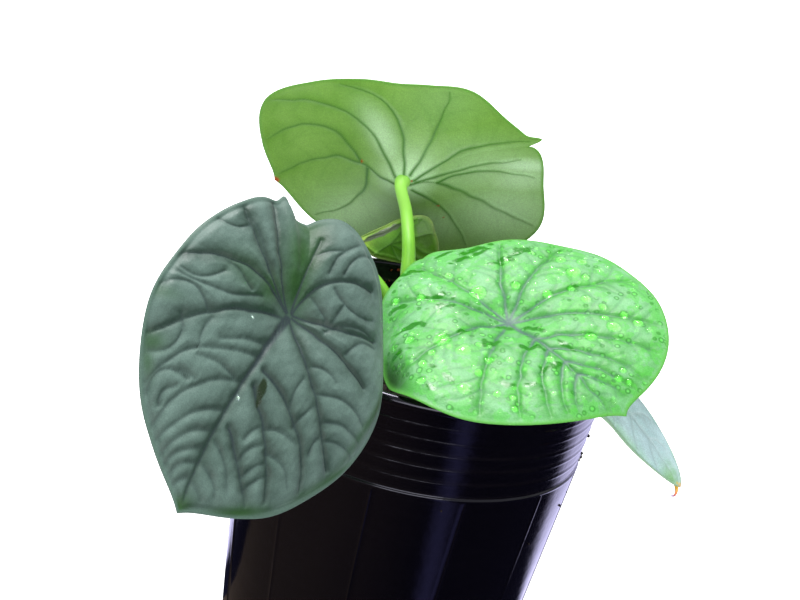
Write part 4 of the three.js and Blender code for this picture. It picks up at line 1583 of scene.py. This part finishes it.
@dataclass
class Droplets:
    """Water drops on a wet blade: some placed one by one, and many small ones strewn by a seeded draw.

    placed holds, for each, its plane coordinates and its radius in mm.
    """

    blade: Blade
    placed: tuple[tuple[float, float, float], ...]
    strewn: int = 200
    rings: int = 7
    sectors: int = 18
    seed: int = 12

    def spread(self) -> Array:
        """Place and radius of every drop: the placed ones, and strewn ones that lie clear of them."""
        draw = np.random.default_rng(self.seed)
        rows = [list(row) for row in self.placed]
        tries = 0
        while len(rows) < len(self.placed) + self.strewn and tries < 4000:
            tries += 1
            angle, share = draw.uniform(-np.pi, np.pi), math.sqrt(draw.uniform(0.01, 0.88))
            reach = share * float(self.blade.margin(np.array(angle)))
            x, y = reach * math.cos(angle), reach * math.sin(angle)
            size = 0.3 + 1.1 * draw.beta(1.2, 2.8)
            kept = np.array(rows)
            if (np.hypot(kept[:, 0] - x, kept[:, 1] - y) > kept[:, 2] + size + 0.25).all():
                rows.append([x, y, size])
        return np.array(rows)

    def build(self) -> bpy.types.Object:
        """Builds the drops: caps that follow the blade beneath them, closed just under the blade's face.

        Over a base of radius r a cap stands h (1 - u^2)^0.6 high at the share u of r, with h about half of r.

        Returns:
            The piece.
        """
        rows = self.spread()
        draw = np.random.default_rng(self.seed + 1)
        count = len(rows)
        u = np.sin(np.linspace(0, np.pi / 2, self.rings + 1))[None, 1:, None]
        angle = around(self.sectors)[None]
        uneven = 1 + 0.1 * np.sin(2 * angle + draw.uniform(0, 6, (count, 1, 1)))
        uneven = uneven + 0.05 * np.sin(3 * angle + draw.uniform(0, 6, (count, 1, 1)))
        size = rows[:, 2, None, None]
        x = rows[:, 0, None, None] + size * u * uneven * np.cos(angle)
        y = rows[:, 1, None, None] + size * u * uneven * np.sin(angle)
        x = np.concatenate([x.reshape(count, -1), rows[:, :1]], axis=1)
        y = np.concatenate([y.reshape(count, -1), rows[:, 1:2]], axis=1)
        share = np.concatenate([np.repeat(u.ravel(), self.sectors), [0.0]])[None]
        ground = self.blade.survey(x, y)["height"]
        tall = rows[:, 2, None] * draw.uniform(0.42, 0.6, (count, 1))
        rim = self.rings * self.sectors - self.sectors
        over = self.blade.place(x, y, ground + tall * (1 - share**2) ** 0.6 - 0.02)
        edge = slice(rim, rim + self.sectors)
        under = self.blade.place(x[:, edge], y[:, edge], ground[:, edge] - 0.12)
        middle = self.blade.place(rows[:, 0], rows[:, 1], ground[:, -1] - 0.12)[:, None]
        points = np.concatenate([over, under, middle], axis=1)
        side = np.arange(self.sectors)
        peak, low, base = self.rings * self.sectors, self.rings * self.sectors + 1, points.shape[1] - 1
        pairs = list(zip(side.tolist(), np.roll(side, -1).tolist()))
        faces = [[a, d, c, b] for a, b, c, d in grid_faces(self.rings, self.sectors, True)]
        faces += [[peak, a, b] for a, b in pairs]
        faces += [[rim + a, low + a, low + b, rim + b] for a, b in pairs]
        faces += [[low + b, low + a, base] for a, b in pairs]
        every = repeated(faces, count, points.shape[1])
        material = WaterFinish(f"water_{self.blade.name}").material()
        piece = Form(points.reshape(-1, 3), every).mesh(f"drops_{self.blade.name}", [material])
        return settle(piece, self.blade.slot)


@dataclass
class TipHook:
    """The thin dry thread that a leaf's tip ends in, by its path in plane coordinates and height."""

    blade: Blade
    path: tuple[Point, ...] = (
        (34, 0.2, 0.1),
        (36.8, 0, 0.1),
        (38.4, -1.6, 0.0),
        (38.4, -4.2, 0.0),
        (37, -6.2, 0.2),
    )
    radii: tuple[float, float] = (1.0, 0.2)
    steps: int = 36
    sides: int = 12

    def build(self) -> bpy.types.Object:
        """Builds the thread as a tapering tube: green in the blade, then orange, and purple at its end."""
        material, graph, shader = new_material("dry_tip")
        along = graph.value("along")
        warm = graph.mix(graph.span(along, 0.15, 0.45), eye(150, 204, 120), eye(255, 190, 70))
        color = graph.mix(graph.span(along, 0.5, 0.75), warm, eye(238, 120, 96))
        color = graph.mix(graph.span(along, 0.75, 0.95), color, eye(124, 84, 158))
        graph.feed(shader.inputs["Base Color"], color)
        shader.inputs["Roughness"].default_value = 0.5
        x, y, height = np.array(self.path).T
        centre = Stem.centreline(self.blade.place(x, y, height - 0.25), self.steps)
        t = np.linspace(0, 1, self.steps + 1)[:, None]
        radius = self.radii[1] + (self.radii[0] - self.radii[1]) * (1 - t) ** 1.2
        points, faces = tube(centre, self.blade.up, np.repeat(radius, self.sides, axis=1))
        values = {"along": np.concatenate([np.repeat(t.ravel(), self.sides), [0, 1]])}
        piece = Form(points, faces, None, values).mesh("dry_tip", [material])
        return settle(piece, self.blade.slot)


@dataclass
class StrayCrumbs:
    """Crumbs of soil that cling to the pot. Each row is a bearing and a height on the wall, and a size."""

    pot: Pot
    outside: tuple[tuple[float, float, float], ...] = (
        (-6, 94, 0.65),
        (-6, 87.4, 0.5),
        (-6, 86.2, 0.7),
        (-6, 84.9, 0.6),
        (-8, 73.4, 0.5),
        (-17, 72, 0.5),
        (-34, 63, 0.35),
        (-75, 79, 0.3),
    )
    inside: tuple[tuple[float, float, float], ...] = (
        (105, 114.0, 0.5),
        (107.5, 113.6, 0.4),
        (106, 107.5, 0.5),
        (109, 109, 0.4),
        (107.5, 109.6, 0.35),
        (111, 106, 0.45),
        (103, 105.5, 0.4),
    )

    def build(self) -> bpy.types.Object:
        """Builds the crumbs, brown outside and rust inside."""
        rows = np.array(self.outside + self.inside)
        inner = np.arange(len(rows)) >= len(self.outside)
        bearing, height = np.radians(rows[:, 0]), rows[:, 1]
        above = np.clip((height - self.pot.ledge_height) / (self.pot.height - self.pot.ledge_height), 0, 1)
        wall = self.pot.wall_radius(np.minimum(height, self.pot.ledge_height))
        wall = wall + above * (self.pot.collar_radius - self.pot.ledge_radius)
        radius = np.where(inner, wall - self.pot.wall - 0.2, wall + 0.12)
        place = np.stack([radius * np.cos(bearing), radius * np.sin(bearing), height], axis=-1)
        tone = np.where(inner, 1.0, 0.0)
        piece = lumps("stray_crumbs", place, rows[:, 2], tone, SoilFinish("crumb_mix").material(), seed=9)
        return settle(piece, Slot.SOIL)


@dataclass
class Studio:
    """The camera at the photograph's angle, soft lights, and a pale floor that glows with painted
    reflections.
    """

    target: Point = (-12.19, 0.0, 123.16)
    distance: float = 600.0
    elevation: float = 19.63
    roll: float = 13.09
    lens: float = 82.65
    sensor: float = 36.0
    floor_radius: float = 6000.0
    floor_sides: int = 64
    # Colours of the painted reflections that the floor glows with, by bearing round the pot, for glossy rays.
    left_mirror: Color = (0.15, 0.115, 0.095, 1.0)
    right_mirror: Color = (0.014, 0.014, 0.035, 1.0)
    band_mirror: Color = (0.22, 0.22, 0.55, 1.0)
    back_mirror: Color = (1.5, 1.45, 2.2, 1.0)
    far_mirror: Color = (0.5, 0.48, 0.74, 1.0)

    def camera(self) -> bpy.types.Object:
        """Makes the scene's camera. It looks along +Y and down, rolled about its own axis."""
        data = bpy.data.cameras.new("camera")
        data.lens, data.sensor_width, data.sensor_fit = self.lens, self.sensor, "HORIZONTAL"
        data.clip_start, data.clip_end = 0.01, 50
        camera = bpy.data.objects.new("camera", data)
        bpy.context.scene.collection.objects.link(camera)
        elevation, roll = math.radians(self.elevation), math.radians(self.roll)
        forward = Vector((0, math.cos(elevation), -math.sin(elevation)))
        right = Vector((1, 0, 0))
        above = right.cross(forward)
        x_axis = math.cos(roll) * right + math.sin(roll) * above
        y_axis = -math.sin(roll) * right + math.cos(roll) * above
        turned = Matrix((x_axis, y_axis, -forward)).transposed().to_4x4()
        position = (Vector(self.target) - self.distance * forward) * MM
        camera.matrix_world = Matrix.Translation(position) @ turned
        bpy.context.scene.camera = camera
        return camera

    @staticmethod
    def lamp(
        name: str, place: Point, aim: Point, size: tuple[float, float], power: float, color: Point
    ) -> None:
        """Adds a flat soft lamp.

        Args:
            name: Its name.
            place: Its middle, in metres.
            aim: The point that it faces, in metres.
            size: Its width and height, in metres.
            power: Its power, in watts.
            color: Its colour.
        """
        data = bpy.data.lights.new(name, "AREA")
        data.shape, data.size, data.size_y = "RECTANGLE", *size
        data.energy, data.color = power, color
        lamp = bpy.data.objects.new(name, data)
        bpy.context.scene.collection.objects.link(lamp)
        lamp.location = place
        lamp.rotation_mode = "QUATERNION"
        lamp.rotation_quaternion = (Vector(aim) - Vector(place)).to_track_quat("-Z", "Y")

    def floor(self) -> bpy.types.Object:
        """Makes the floor, pale and plain, and for glossy rays a painted reflection: dark near, a bright
        band.
        """
        material, graph, shader = new_material("pale_floor")
        shader.inputs["Base Color"].default_value = (0.86, 0.86, 0.87, 1.0)
        shader.inputs["Roughness"].default_value = 0.9
        rays = graph.add("ShaderNodeLightPath").outputs
        shader.inputs["Emission Color"].default_value = (1.0, 1.0, 1.0, 1.0)
        graph.feed(shader.inputs["Emission Strength"], graph.times(rays["Is Camera Ray"], 1.0))
        # Painted reflection: for glossy rays the floor glows with a pattern set by the bearing round the pot.
        split = graph.add("ShaderNodeSeparateXYZ", {"Vector": graph.place()}).outputs
        bearing = graph.math("ARCTAN2", split["Y"], split["X"])
        left = graph.span(bearing, math.radians(-70), math.radians(-125))
        band = graph.span(graph.math("ABSOLUTE", graph.math("ADD", bearing, math.radians(59))), 0.14, 0.02)
        behind = graph.math("ABSOLUTE", graph.math("SUBTRACT", bearing, math.radians(90)))
        near = graph.span(behind, math.radians(60), math.radians(71))
        painted_reflection = graph.mix(left, self.right_mirror, self.left_mirror)
        painted_reflection = graph.mix(band, painted_reflection, self.band_mirror)
        wide = graph.span(behind, math.radians(8), math.radians(52))
        back = graph.mix(wide, self.far_mirror, self.back_mirror)
        painted_reflection = graph.mix(near, back, painted_reflection)
        painted_reflection_glow = graph.add("ShaderNodeEmission", {"Color": painted_reflection})
        chosen = graph.add("ShaderNodeMixShader")
        graph.feed(chosen.inputs[0], rays["Is Glossy Ray"])
        graph.feed(chosen.inputs[1], shader.outputs[0])
        graph.feed(chosen.inputs[2], painted_reflection_glow.outputs[0])
        graph.feed(material.node_tree.nodes["Material Output"].inputs["Surface"], chosen.outputs[0])
        angle = around(self.floor_sides)[0]
        reach = [self.floor_radius, self.floor_radius, 1]
        ring = np.stack([np.cos(angle), np.sin(angle), 0 * angle - 0.0002], axis=-1) * reach
        floor = Form(ring, [list(range(self.floor_sides))]).mesh("floor", [material])
        return floor

    def build(self) -> None:
        """Sets up the camera, the floor, the lights and a faint even surround."""
        self.camera()
        self.floor()
        world = bpy.data.worlds.new("surround")
        world.use_nodes = True
        world.node_tree.nodes["Background"].inputs["Color"].default_value = (0.93, 0.97, 1.0, 1.0)
        world.node_tree.nodes["Background"].inputs["Strength"].default_value = 0.55
        bpy.context.scene.world = world
        self.lamp("overhead", (-0.35, 0.25, 1.5), (0, 0, 0.1), (0.5, 0.5), 24, (1.0, 1.0, 1.0))
        self.lamp("front", (0.25, -1.5, 0.3), (0, 0, 0.15), (1.2, 0.8), 11, (0.97, 0.99, 1.0))
        bpy.context.scene.view_settings.view_transform = "Standard"


GREY_LEAF = LeafFinish(
    name="grey_upper",
    lit_ridge=eye(106, 132, 122),
    shaded_trough=eye(38, 64, 52),
    vein=eye(38, 54, 58),
    rim=eye(84, 112, 98),
    tinge_and_painted_light=eye(30, 80, 14),
    # Painted shade: the dark green seen through a hole in the leaf.
    wet_and_shade=eye(20, 42, 8),
    side_vein=0.34,
    mottle=0.25,
    roughness=0.56,
    sheen=0.08,
    dew_and_glow=eye(226, 240, 255),
)
GREY_UNDER = LeafFinish(
    name="grey_under",
    lit_ridge=eye(120, 152, 112),
    shaded_trough=eye(108, 140, 100),
    vein=eye(80, 112, 70),
    rim=eye(100, 130, 96),
    tinge_and_painted_light=eye(110, 150, 96),
    wet_and_shade=eye(90, 130, 80),
    side_vein=0.4,
)
PALE_UNDER = LeafFinish(
    name="pale_under",
    lit_ridge=eye(136, 188, 78),
    shaded_trough=eye(116, 170, 60),
    vein=eye(68, 130, 36),
    rim=eye(108, 172, 60),
    # The tinge is painted light: near white, for light coming through the leaf.
    tinge_and_painted_light=eye(214, 253, 200),
    wet_and_shade=eye(190, 96, 40),
    side_vein=0.12,
    mottle=0.7,
    roughness=0.42,
    cloud=55.0,
)
PALE_UPPER = LeafFinish(
    name="pale_upper",
    lit_ridge=eye(104, 152, 88),
    shaded_trough=eye(72, 122, 58),
    vein=eye(56, 92, 52),
    rim=eye(110, 160, 90),
    tinge_and_painted_light=eye(124, 174, 96),
    wet_and_shade=eye(70, 120, 50),
    roughness=0.42,
)
WET_LEAF = LeafFinish(
    name="wet_upper",
    lit_ridge=eye(130, 196, 136),
    shaded_trough=eye(80, 164, 72),
    vein=eye(70, 104, 98),
    rim=eye(92, 176, 66),
    # The tinge is painted shade, on the hem that curls down away from the light.
    tinge_and_painted_light=eye(20, 74, 8),
    wet_and_shade=eye(36, 132, 16),
    side_vein=0.3,
    mottle=0.6,
    cloud=160.0,
    film=0.6,
    dew_and_glow=eye(100, 226, 76),
)
WET_UNDER = LeafFinish(
    name="wet_under",
    lit_ridge=eye(104, 170, 74),
    shaded_trough=eye(92, 156, 62),
    vein=eye(70, 130, 46),
    rim=eye(100, 176, 70),
    tinge_and_painted_light=eye(60, 130, 40),
    wet_and_shade=eye(84, 150, 56),
    side_vein=0.2,
)
SILVER_LEAF = LeafFinish(
    name="silver_upper",
    lit_ridge=eye(222, 247, 254),
    shaded_trough=eye(184, 216, 216),
    vein=eye(212, 234, 236),
    rim=eye(150, 184, 150),
    tinge_and_painted_light=eye(130, 192, 104),
    wet_and_shade=eye(240, 182, 84),
    side_vein=0.4,
    sheen=0.1,
)
SILVER_UNDER = LeafFinish(
    name="silver_under",
    lit_ridge=eye(140, 182, 128),
    shaded_trough=eye(128, 170, 116),
    vein=eye(100, 150, 88),
    rim=eye(130, 172, 118),
    tinge_and_painted_light=eye(140, 182, 118),
    wet_and_shade=eye(226, 130, 50),
)
YOUNG_LEAF = LeafFinish(
    name="young_under",
    lit_ridge=eye(128, 184, 58),
    shaded_trough=eye(102, 164, 40),
    vein=eye(78, 132, 32),
    rim=eye(150, 184, 88),
    tinge_and_painted_light=eye(190, 224, 84),
    wet_and_shade=eye(112, 124, 96),
    side_vein=0.1,
    mottle=0.5,
)
GREEN_STEM = StemFinish(
    name="green_stem",
    skin=eye(137, 210, 58),
    streak=eye(113, 192, 44),
    top=eye(176, 248, 104),
    foot=eye(120, 110, 60),
)

SEEN_DROPS = (
    (-14, -1.2, 2.6), (-2.5, -24, 2.6), (5.5, -22, 2.3), (18, -31.5, 2.0), (-9.5, 10, 1.5),
    (-0.5, 15.5, 1.6), (25, -24.5, 1.2), (8, -39.5, 1.4), (28.5, -21.5, 1.1), (32, -23.5, 1.1),
    (23, -3, 1.3), (39.5, 10, 1.2), (38, 13, 1.1), (42, 12, 1.0), (22.5, 13.5, 2.0), (2.5, -35, 1.4),
    (0.5, -30, 1.3), (13, -18, 1.5), (16.5, -13, 1.3), (15.5, -24, 1.4), (-26, -3.5, 1.4),
    (-3.5, 28.5, 2.3), (9, 23, 1.6), (0.5, 30, 1.4), (-11, 29.5, 1.8), (-6.5, 34.5, 1.6), (23, 22, 2.1),
    (25.5, 30, 1.7), (18.5, 22.5, 1.3), (20.5, 28.5, 1.3), (14.5, 25, 1.3), (-27.5, -23, 1.3),
    (-22, -17.5, 1.4), (-9.5, -31, 1.5), (2, 23, 1.3),
)

LEFT = Blade(
    name="left",
    slot=Slot.GREY,
    at=(-41.5, -84, 141),
    faces=(37, 35),
    heading=-129,
    outline=(36.5, 31.5, 34.5, 34.5, 35.5, 38, 43.5, 48.5, 55.5, 62.5, 58.5, 51, 46, 41, 36, 33.5, 33, 34),
    tip=(0, 4.5),
    notch=Bend(-166, 8, 2.5),
    corner=Bend(-151.5, 4.5, 4.2),
    funnel=(4.5, 11),
    edge=3.5,
    cleft=Bend(-156, 24, 6),
    curls=(Bend(95, 46, 4.5), Bend(60, 29, 2)),
    wave=(1, 5, 0.6),
    relief=Relief(0.4, 0.75, 1.0),
    stalk=Stalk(240, ((-20, -17, 118), (-37, -50, 129.5)), 9, (3.4, 2.1)),
    upper=GREY_LEAF,
    under=GREY_UNDER,
    cells=216,
    traced=(
        (0, 0.02, 0, 0.97, -0.115), (-18, 0.03, -46, 0.97, -0.17), (-88, 0.03, -80, 0.97, -0.3),
        (-109, 0.03, -121, 0.93, 0.11), (-114, 0.03, -142, 0.98, 0.15), (171, 0.03, -173, 0.75, 0.09),
        (152, 0.03, 141, 0.84, 0.42), (126, 0.03, 111, 0.81, -0.05), (81, 0.03, 81, 0.73, 0.05),
        (32, 0.03, 47, 0.91, -0.01), (0, 0.3, 35, 0.94, 0.21), (0, 0.39, 22, 0.93, 0.09),
        (0, 0.6, 16, 0.95, 0.03),
    ),
    creases=(
        (-78, 0.39, -79, 0.97, -0.42), (-79, 0.28, -71, 0.93, 0.16), (-55, 0.62, -62, 1.0, -0.65),
        (-81, 0.65, -73, 0.92, 0.37), (-118, 0.8, -106, 0.96, 0.3), (-50, 0.58, -35, 0.66, -0.2),
        (-52, 0.78, -40, 0.95, 0.55), (-14, 0.24, -37, 0.53, -0.08), (-9, 0.3, -36, 0.66, -0.09),
        (-36, 0.66, -31, 0.97, -0.19), (-13, 0.48, -33, 0.67, -0.18), (-26, 0.74, -28, 0.97, -0.74),
        (-8, 0.44, -19, 1.0, -0.33), (-6, 0.59, -15, 0.99, -0.31), (-4, 0.68, -11, 1.0, -0.41),
        (-4, 0.77, -9, 0.99, -0.39), (-3, 0.83, -6, 1.0, -0.49), (-3, 0.9, -4, 1.0, -0.4),
        (-2, 0.7, 9, 0.9, 0.14), (-1, 0.8, 6, 0.92, 0.18), (-1, 0.88, 3, 0.94, 0.06),
        (27, 0.48, 38, 0.36, 0.17), (30, 0.59, 45, 0.53, 0.14), (38, 0.77, 47, 0.72, 0.31),
        (15, 0.58, 31, 0.67, 0.19), (18, 0.7, 29, 0.89, 0.41), (7, 0.64, 14, 0.57, 0.22),
        (9, 0.74, 16, 0.66, 0.34), (12, 0.81, 18, 0.75, 0.24), (14, 0.89, 20, 0.81, 0.27),
        (48, 0.48, 70, 0.87, 0.24), (48, 0.64, 65, 0.92, 0.22), (48, 0.75, 61, 0.96, 0.12),
        (51, 0.33, 65, 0.5, 0.33), (99, 0.3, 110, 0.81, 0.33), (89, 0.5, 107, 0.81, 0.38),
        (171, 0.48, 167, 0.9, 0.2), (161, 0.61, 158, 0.98, 0.34), (-173, 0.58, 170, 0.75, 0.15),
        (175, 0.22, 99, 0.31, 0.27), (155, 0.46, 123, 0.79, -0.32), (-111, 0.4, -121, 0.86, -0.1),
        (-23, 0.92, -26, 0.81, 0.43), (-30, 0.78, -24, 0.7, 0.24), (135, 0.49, 109, 0.33, 0.01),
        (2, 0.64, 9, 0.78, 0.01),
    ),
    tinges_and_painted_light=(
        Spot(-9, -4.5, 9, 5, 30), Spot(-17, -7, 11, 5.5, 14), Spot(-27, -7.5, 9, 5, 5, 0.8),
        Spot(-1.5, -10, 5, 4.5, 0, 0.8), Spot(-1, -17, 6, 8, 0, 0.4), Spot(33, -30.5, 2.6, 3.4, 40, 0.7),
        Spot(38, -28.5, 4, 1.6, 40, 0.6), Spot(20, -36, 2, 5, 20, 0.4), Spot(66, -1, 4, 2.5, -40),
        Spot(58, 14, 11, 2.0, -52), Spot(2, 37.5, 22, 1.5, -4, 0.8), Spot(27, 38, 20, 1.6, -30, 0.8),
    ),
    # Painted shade: a hole in the leaf, painted dark green for the shade seen through it.
    puddles_and_shade=(
        Spot(24.9, 1.95, 2.9, 1.25, 16), Spot(27.8, 2.9, 2.8, 0.7, 17),
    ),
    spot_waver=0.05,
    vein_width=0.3,
    midrib_width=0.5,
    midrib_gap=0.75,
    vein_fade=0.6,
    dew_and_glow=((9.5, -10.5, 0.5), (31.5, -2.5, 0.45)),
    wobble=0.2,
    seed=11,
)

BACK = Blade(
    name="back",
    slot=Slot.PALE,
    at=(-20.5, 41.5, 151),
    faces=(178, 19),
    heading=-26,
    outline=(47.3, 47.5, 51, 46, 40.5, 39.5, 38, 39, 42, 45.5, 51.5, 54, 45, 37, 32, 33.5, 39.5, 41.5),
    tip=(3.5, 2.2),
    notch=Bend(176.9, 1.1, 5.8),
    corner=Bend(175.4, 2.2, 4.7),
    funnel=(11.5, 16),
    edge=2,
    cleft=Bend(180, 20, 4),
    curls=(Bend(0, 29, 2),),
    wave=(1.5, 4, 0.5),
    relief=Relief(0.35, 0.45, 0.12, 0.3),
    stalk=Stalk(105, ((-10.3, 13, 122.5), (-13.2, 22, 133.5), (-16.8, 33, 142.5)), 4, (3.4, 2.0)),
    upper=PALE_UPPER,
    under=PALE_UNDER,
    cells=180,
    traced=(
        (-21, 0.07, 6, 0.95, 0.27), (21, 0.3, 22, 0.96, 0.57), (42, 0.05, 41, 0.97, 0.36),
        (117, 0.07, 70, 0.94, 0.44), (151, 0.09, 131, 0.94, 0.11), (-170, 0.08, 175, 0.92, -0.1),
        (-160, 0.09, -175, 0.85, 0.06), (-154, 0.23, -164, 0.94, -0.12), (-155, 0.23, -140, 0.98, 0.1),
        (-114, 0.11, -108, 0.88, -0.09), (16, 0.26, -19, 0.96, -0.39), (-136, 0.05, -154, 0.23, -0.21),
    ),
    # Painted light: pale patches for light coming through the thin leaf, and a painted gloss.
    tinges_and_painted_light=(
        Spot(-2, 0, 10, 9), Spot(-41, -6.5, 14, 4, 8), Spot(-37, -12, 14, 8, 0, 0.75),
        Spot(4, 14, 5, 12, -20, 0.7), Spot(-30, -8, 24, 12, 10, 0.5), Spot(-28, -25, 22, 13, 0, 0.65),
        Spot(26, -18, 18, 12, 0, 0.65), Spot(-4, -26, 14, 9, 0, 0.45), Spot(-20, 24, 14, 12, 0, 0.15),
    ),
    puddles_and_shade=(
        Spot(14.4, 6.2, 0.5, 0.45), Spot(-3.1, -0.5, 0.5, 0.4), Spot(-6.7, -16.7, 0.6, 0.4, 30),
        Spot(-6.5, -23.2, 0.4, 0.3, 30), Spot(48.6, 3, 1.7, 1.3),
    ),
    margin_groove=0.2,
    spot_waver=0.1,
    painted_light_gain=0.3,
    wet_side=Side.UNDER,
    midrib_width=0.5,
    under_calm=0.6,
    side_pitch=7.0,
    seed=21,
)

RIGHT = Blade(
    name="right",
    slot=Slot.WET,
    at=(22, -33, 135.5),
    faces=(-22, 66),
    heading=-25,
    outline=(43.5, 39.5, 40.5, 39.5, 42, 45.5, 46, 44.5, 45, 46, 48.5, 49, 47.5, 45, 44, 39.5, 37, 37),
    tip=(4.5, 3.9),
    notch=Bend(-178, 6, 1.5),
    corner=Bend(175, 5, 0.5),
    funnel=(4.5, 11),
    edge=2.5,
    cleft=Bend(180, 17, 3.5),
    curls=(Bend(-125, 26, 7), Bend(0, 20, 4)),
    wave=(1, 5, 2),
    rays=(-50, -89, -138, -168, 146, 114, 78, 50),
    laterals=(
        (0.27, 36), (0.4, 22), (0.55, 15), (0.27, -34), (0.4, -22), (0.55, -15), (0.68, 10), (0.68, -10),
    ),
    relief=Relief(0.45, 0.5, 0.32),
    stalk=Stalk(300, ((11, -15, 118), (20.5, -26, 124)), 7, (3.3, 2.1)),
    upper=WET_LEAF,
    under=WET_UNDER,
    cells=216,
    hem=Bend(-96, 14, 7),
    # Painted shade: dark green on the hem, which curls down away from the light.
    tinges_and_painted_light=(Spot(-6, -41.5, 13, 3, -14),),
    puddles_and_shade=(
        Spot(-18.7, -12.8, 4, 1.2, 60), Spot(-14.1, -14.3, 4, 1.1, 62), Spot(-14, -26.4, 4, 1.3, 60),
        Spot(-2.1, -16.7, 2.4, 0.9, 60), Spot(6.8, -13.3, 3.6, 1.4, 66), Spot(15.9, -3.8, 4.5, 1.2, 55),
        Spot(9.2, 3.3, 4, 1, 20), Spot(-21.1, 21.5, 4, 2, 70), Spot(-20.5, 15.1, 3, 1.6, 50),
        Spot(25.8, -4.3, 4, 1.5, 70), Spot(20.7, 4.8, 3, 0.9, 20), Spot(5.8, -33, 2, 0.9, 20),
        Spot(11.9, -32.7, 2.4, 1, 20), Spot(-31.9, 11.6, 5, 1.6, 80), Spot(-20.8, 11.5, 2, 0.8, 60),
        Spot(-35.7, -11.6, 4, 1.6, 70), Spot(1.9, -2.4, 2.4, 1.2, 40), Spot(1.6, 23.6, 2.2, 0.8, 70),
        Spot(-28.9, 11.4, 3.4, 1.2, 80), Spot(12, -39, 2.4, 0.9, 10), Spot(23.5, -20, 2, 1, 30),
        Spot(27.5, -14.5, 3, 1, 50), Spot(-31, 5, 3.4, 1.2, 85), Spot(-37.5, 4, 3, 1.1, 85),
        Spot(-8, -36, 2.4, 1, 60), Spot(-24, -24, 3, 1, 62),
    ),
    vein_width=0.52,
    midrib_width=0.85,
    vein_fade=0.85,
    margin_groove=0.06,
    painted_light_gain=0.9,
    dew_and_glow=SEEN_DROPS,
    seed=31,
)

HANGING = Blade(
    name="hanging",
    slot=Slot.SILVER,
    at=(57, -36.5, 122.3),
    faces=(55, 43),
    heading=-61,
    outline=Oval(38.2, 12, (9.6, 11.7), (2.2, 1.4)),
    tip=(0, 0.5),
    notch=Bend(180, 6, 2),
    corner=Bend(165, 5, 0),
    funnel=(2, 6),
    edge=1.5,
    cleft=Bend(180, 23, 1.5),
    wave=(0.5, 4, 0),
    rays=(-55, -100, -150, 55, 100, 150),
    laterals=((0.25, 22), (0.5, 9), (0.25, -22), (0.5, -9)),
    relief=Relief(0.3, 0.3, 0.2),
    sweep=-0.0017,
    stalk=Stalk(350, ((22, -4, 119), (42, -21, 123.5)), 3, (2.8, 1.5)),
    upper=SILVER_LEAF,
    under=SILVER_UNDER,
    cells=110,
    tinges_and_painted_light=(Spot(14, -10, 18, 2.4, 8, 0.7), Spot(34, -2, 5, 4, 0, 0.8)),
    puddles_and_shade=(Spot(38.8, 0, 1.4, 1.4, 0, 0.7),),
    spot_waver=0.1,
    side_pitch=4.0,
    vein_width=0.35,
    midrib_width=0.5,
    seed=41,
)

YOUNG = Blade(
    name="young",
    slot=Slot.PALE,
    at=(-19.8, 33.3, 130.4),
    faces=(195, -10),
    heading=157,
    outline=(8.6, 10.8, 8.2, 6.7, 6.2, 6.5, 8, 11, 15.8, 16, 17, 15.6, 10.2, 7.2, 6.1, 5.8, 6.2, 7.3),
    tip=(25, 1.0),
    notch=Bend(180, 6, 0),
    corner=Bend(165, 5, 0),
    funnel=(0.5, 4),
    edge=0.8,
    cleft=Bend(180, 20, 0),
    wave=(0.3, 4, 0),
    cup=(0.02, 0.05),
    rays=(-28, 38, 75, 160),
    laterals=((0.4, 30), (0.4, -25)),
    relief=Relief(0.2, 0.25, 0.08, 0.2),
    stalk=Stalk(168, ((-17.6, 11.7, 120.3), (-27.5, 19.5, 126.5)), 1.5, (2.6, 1.4), (-12, -3.5)),
    upper=PALE_UPPER,
    under=YOUNG_LEAF,
    cells=90,
    tinges_and_painted_light=(Spot(0, -6.7, 14, 1.0, -7), Spot(-9.5, -3.5, 3, 2.5, 30)),
    # A grey strip along the leaf and a faint grey patch.
    puddles_and_shade=(Spot(-1.3, -4.3, 8.5, 0.95, -9), Spot(12.8, -1, 3.2, 6, 10, 0.35)),
    side_pitch=4.0,
    spot_waver=0.15,
    vein_width=0.3,
    midrib_width=0.4,
    wet_side=Side.UNDER,
    seed=51,
)


def main() -> None:
    """Builds the studio, the pot, the soil, the crown and the five leaves, in that order."""
    logging.basicConfig(level=logging.INFO, format="%(name)s: %(message)s")
    Studio().build()
    Pot().build()
    Soil().build()
    Crown().build()
    for blade in (LEFT, BACK, RIGHT, HANGING, YOUNG):
        blade.build()
        Stem(blade, GREEN_STEM).build()
    Droplets(RIGHT, RIGHT.dew_and_glow).build()
    Droplets(LEFT, LEFT.dew_and_glow, strewn=0).build()
    TipHook(HANGING).build()
    StrayCrumbs(Pot()).build()


if __name__ == "__main__":
    main()
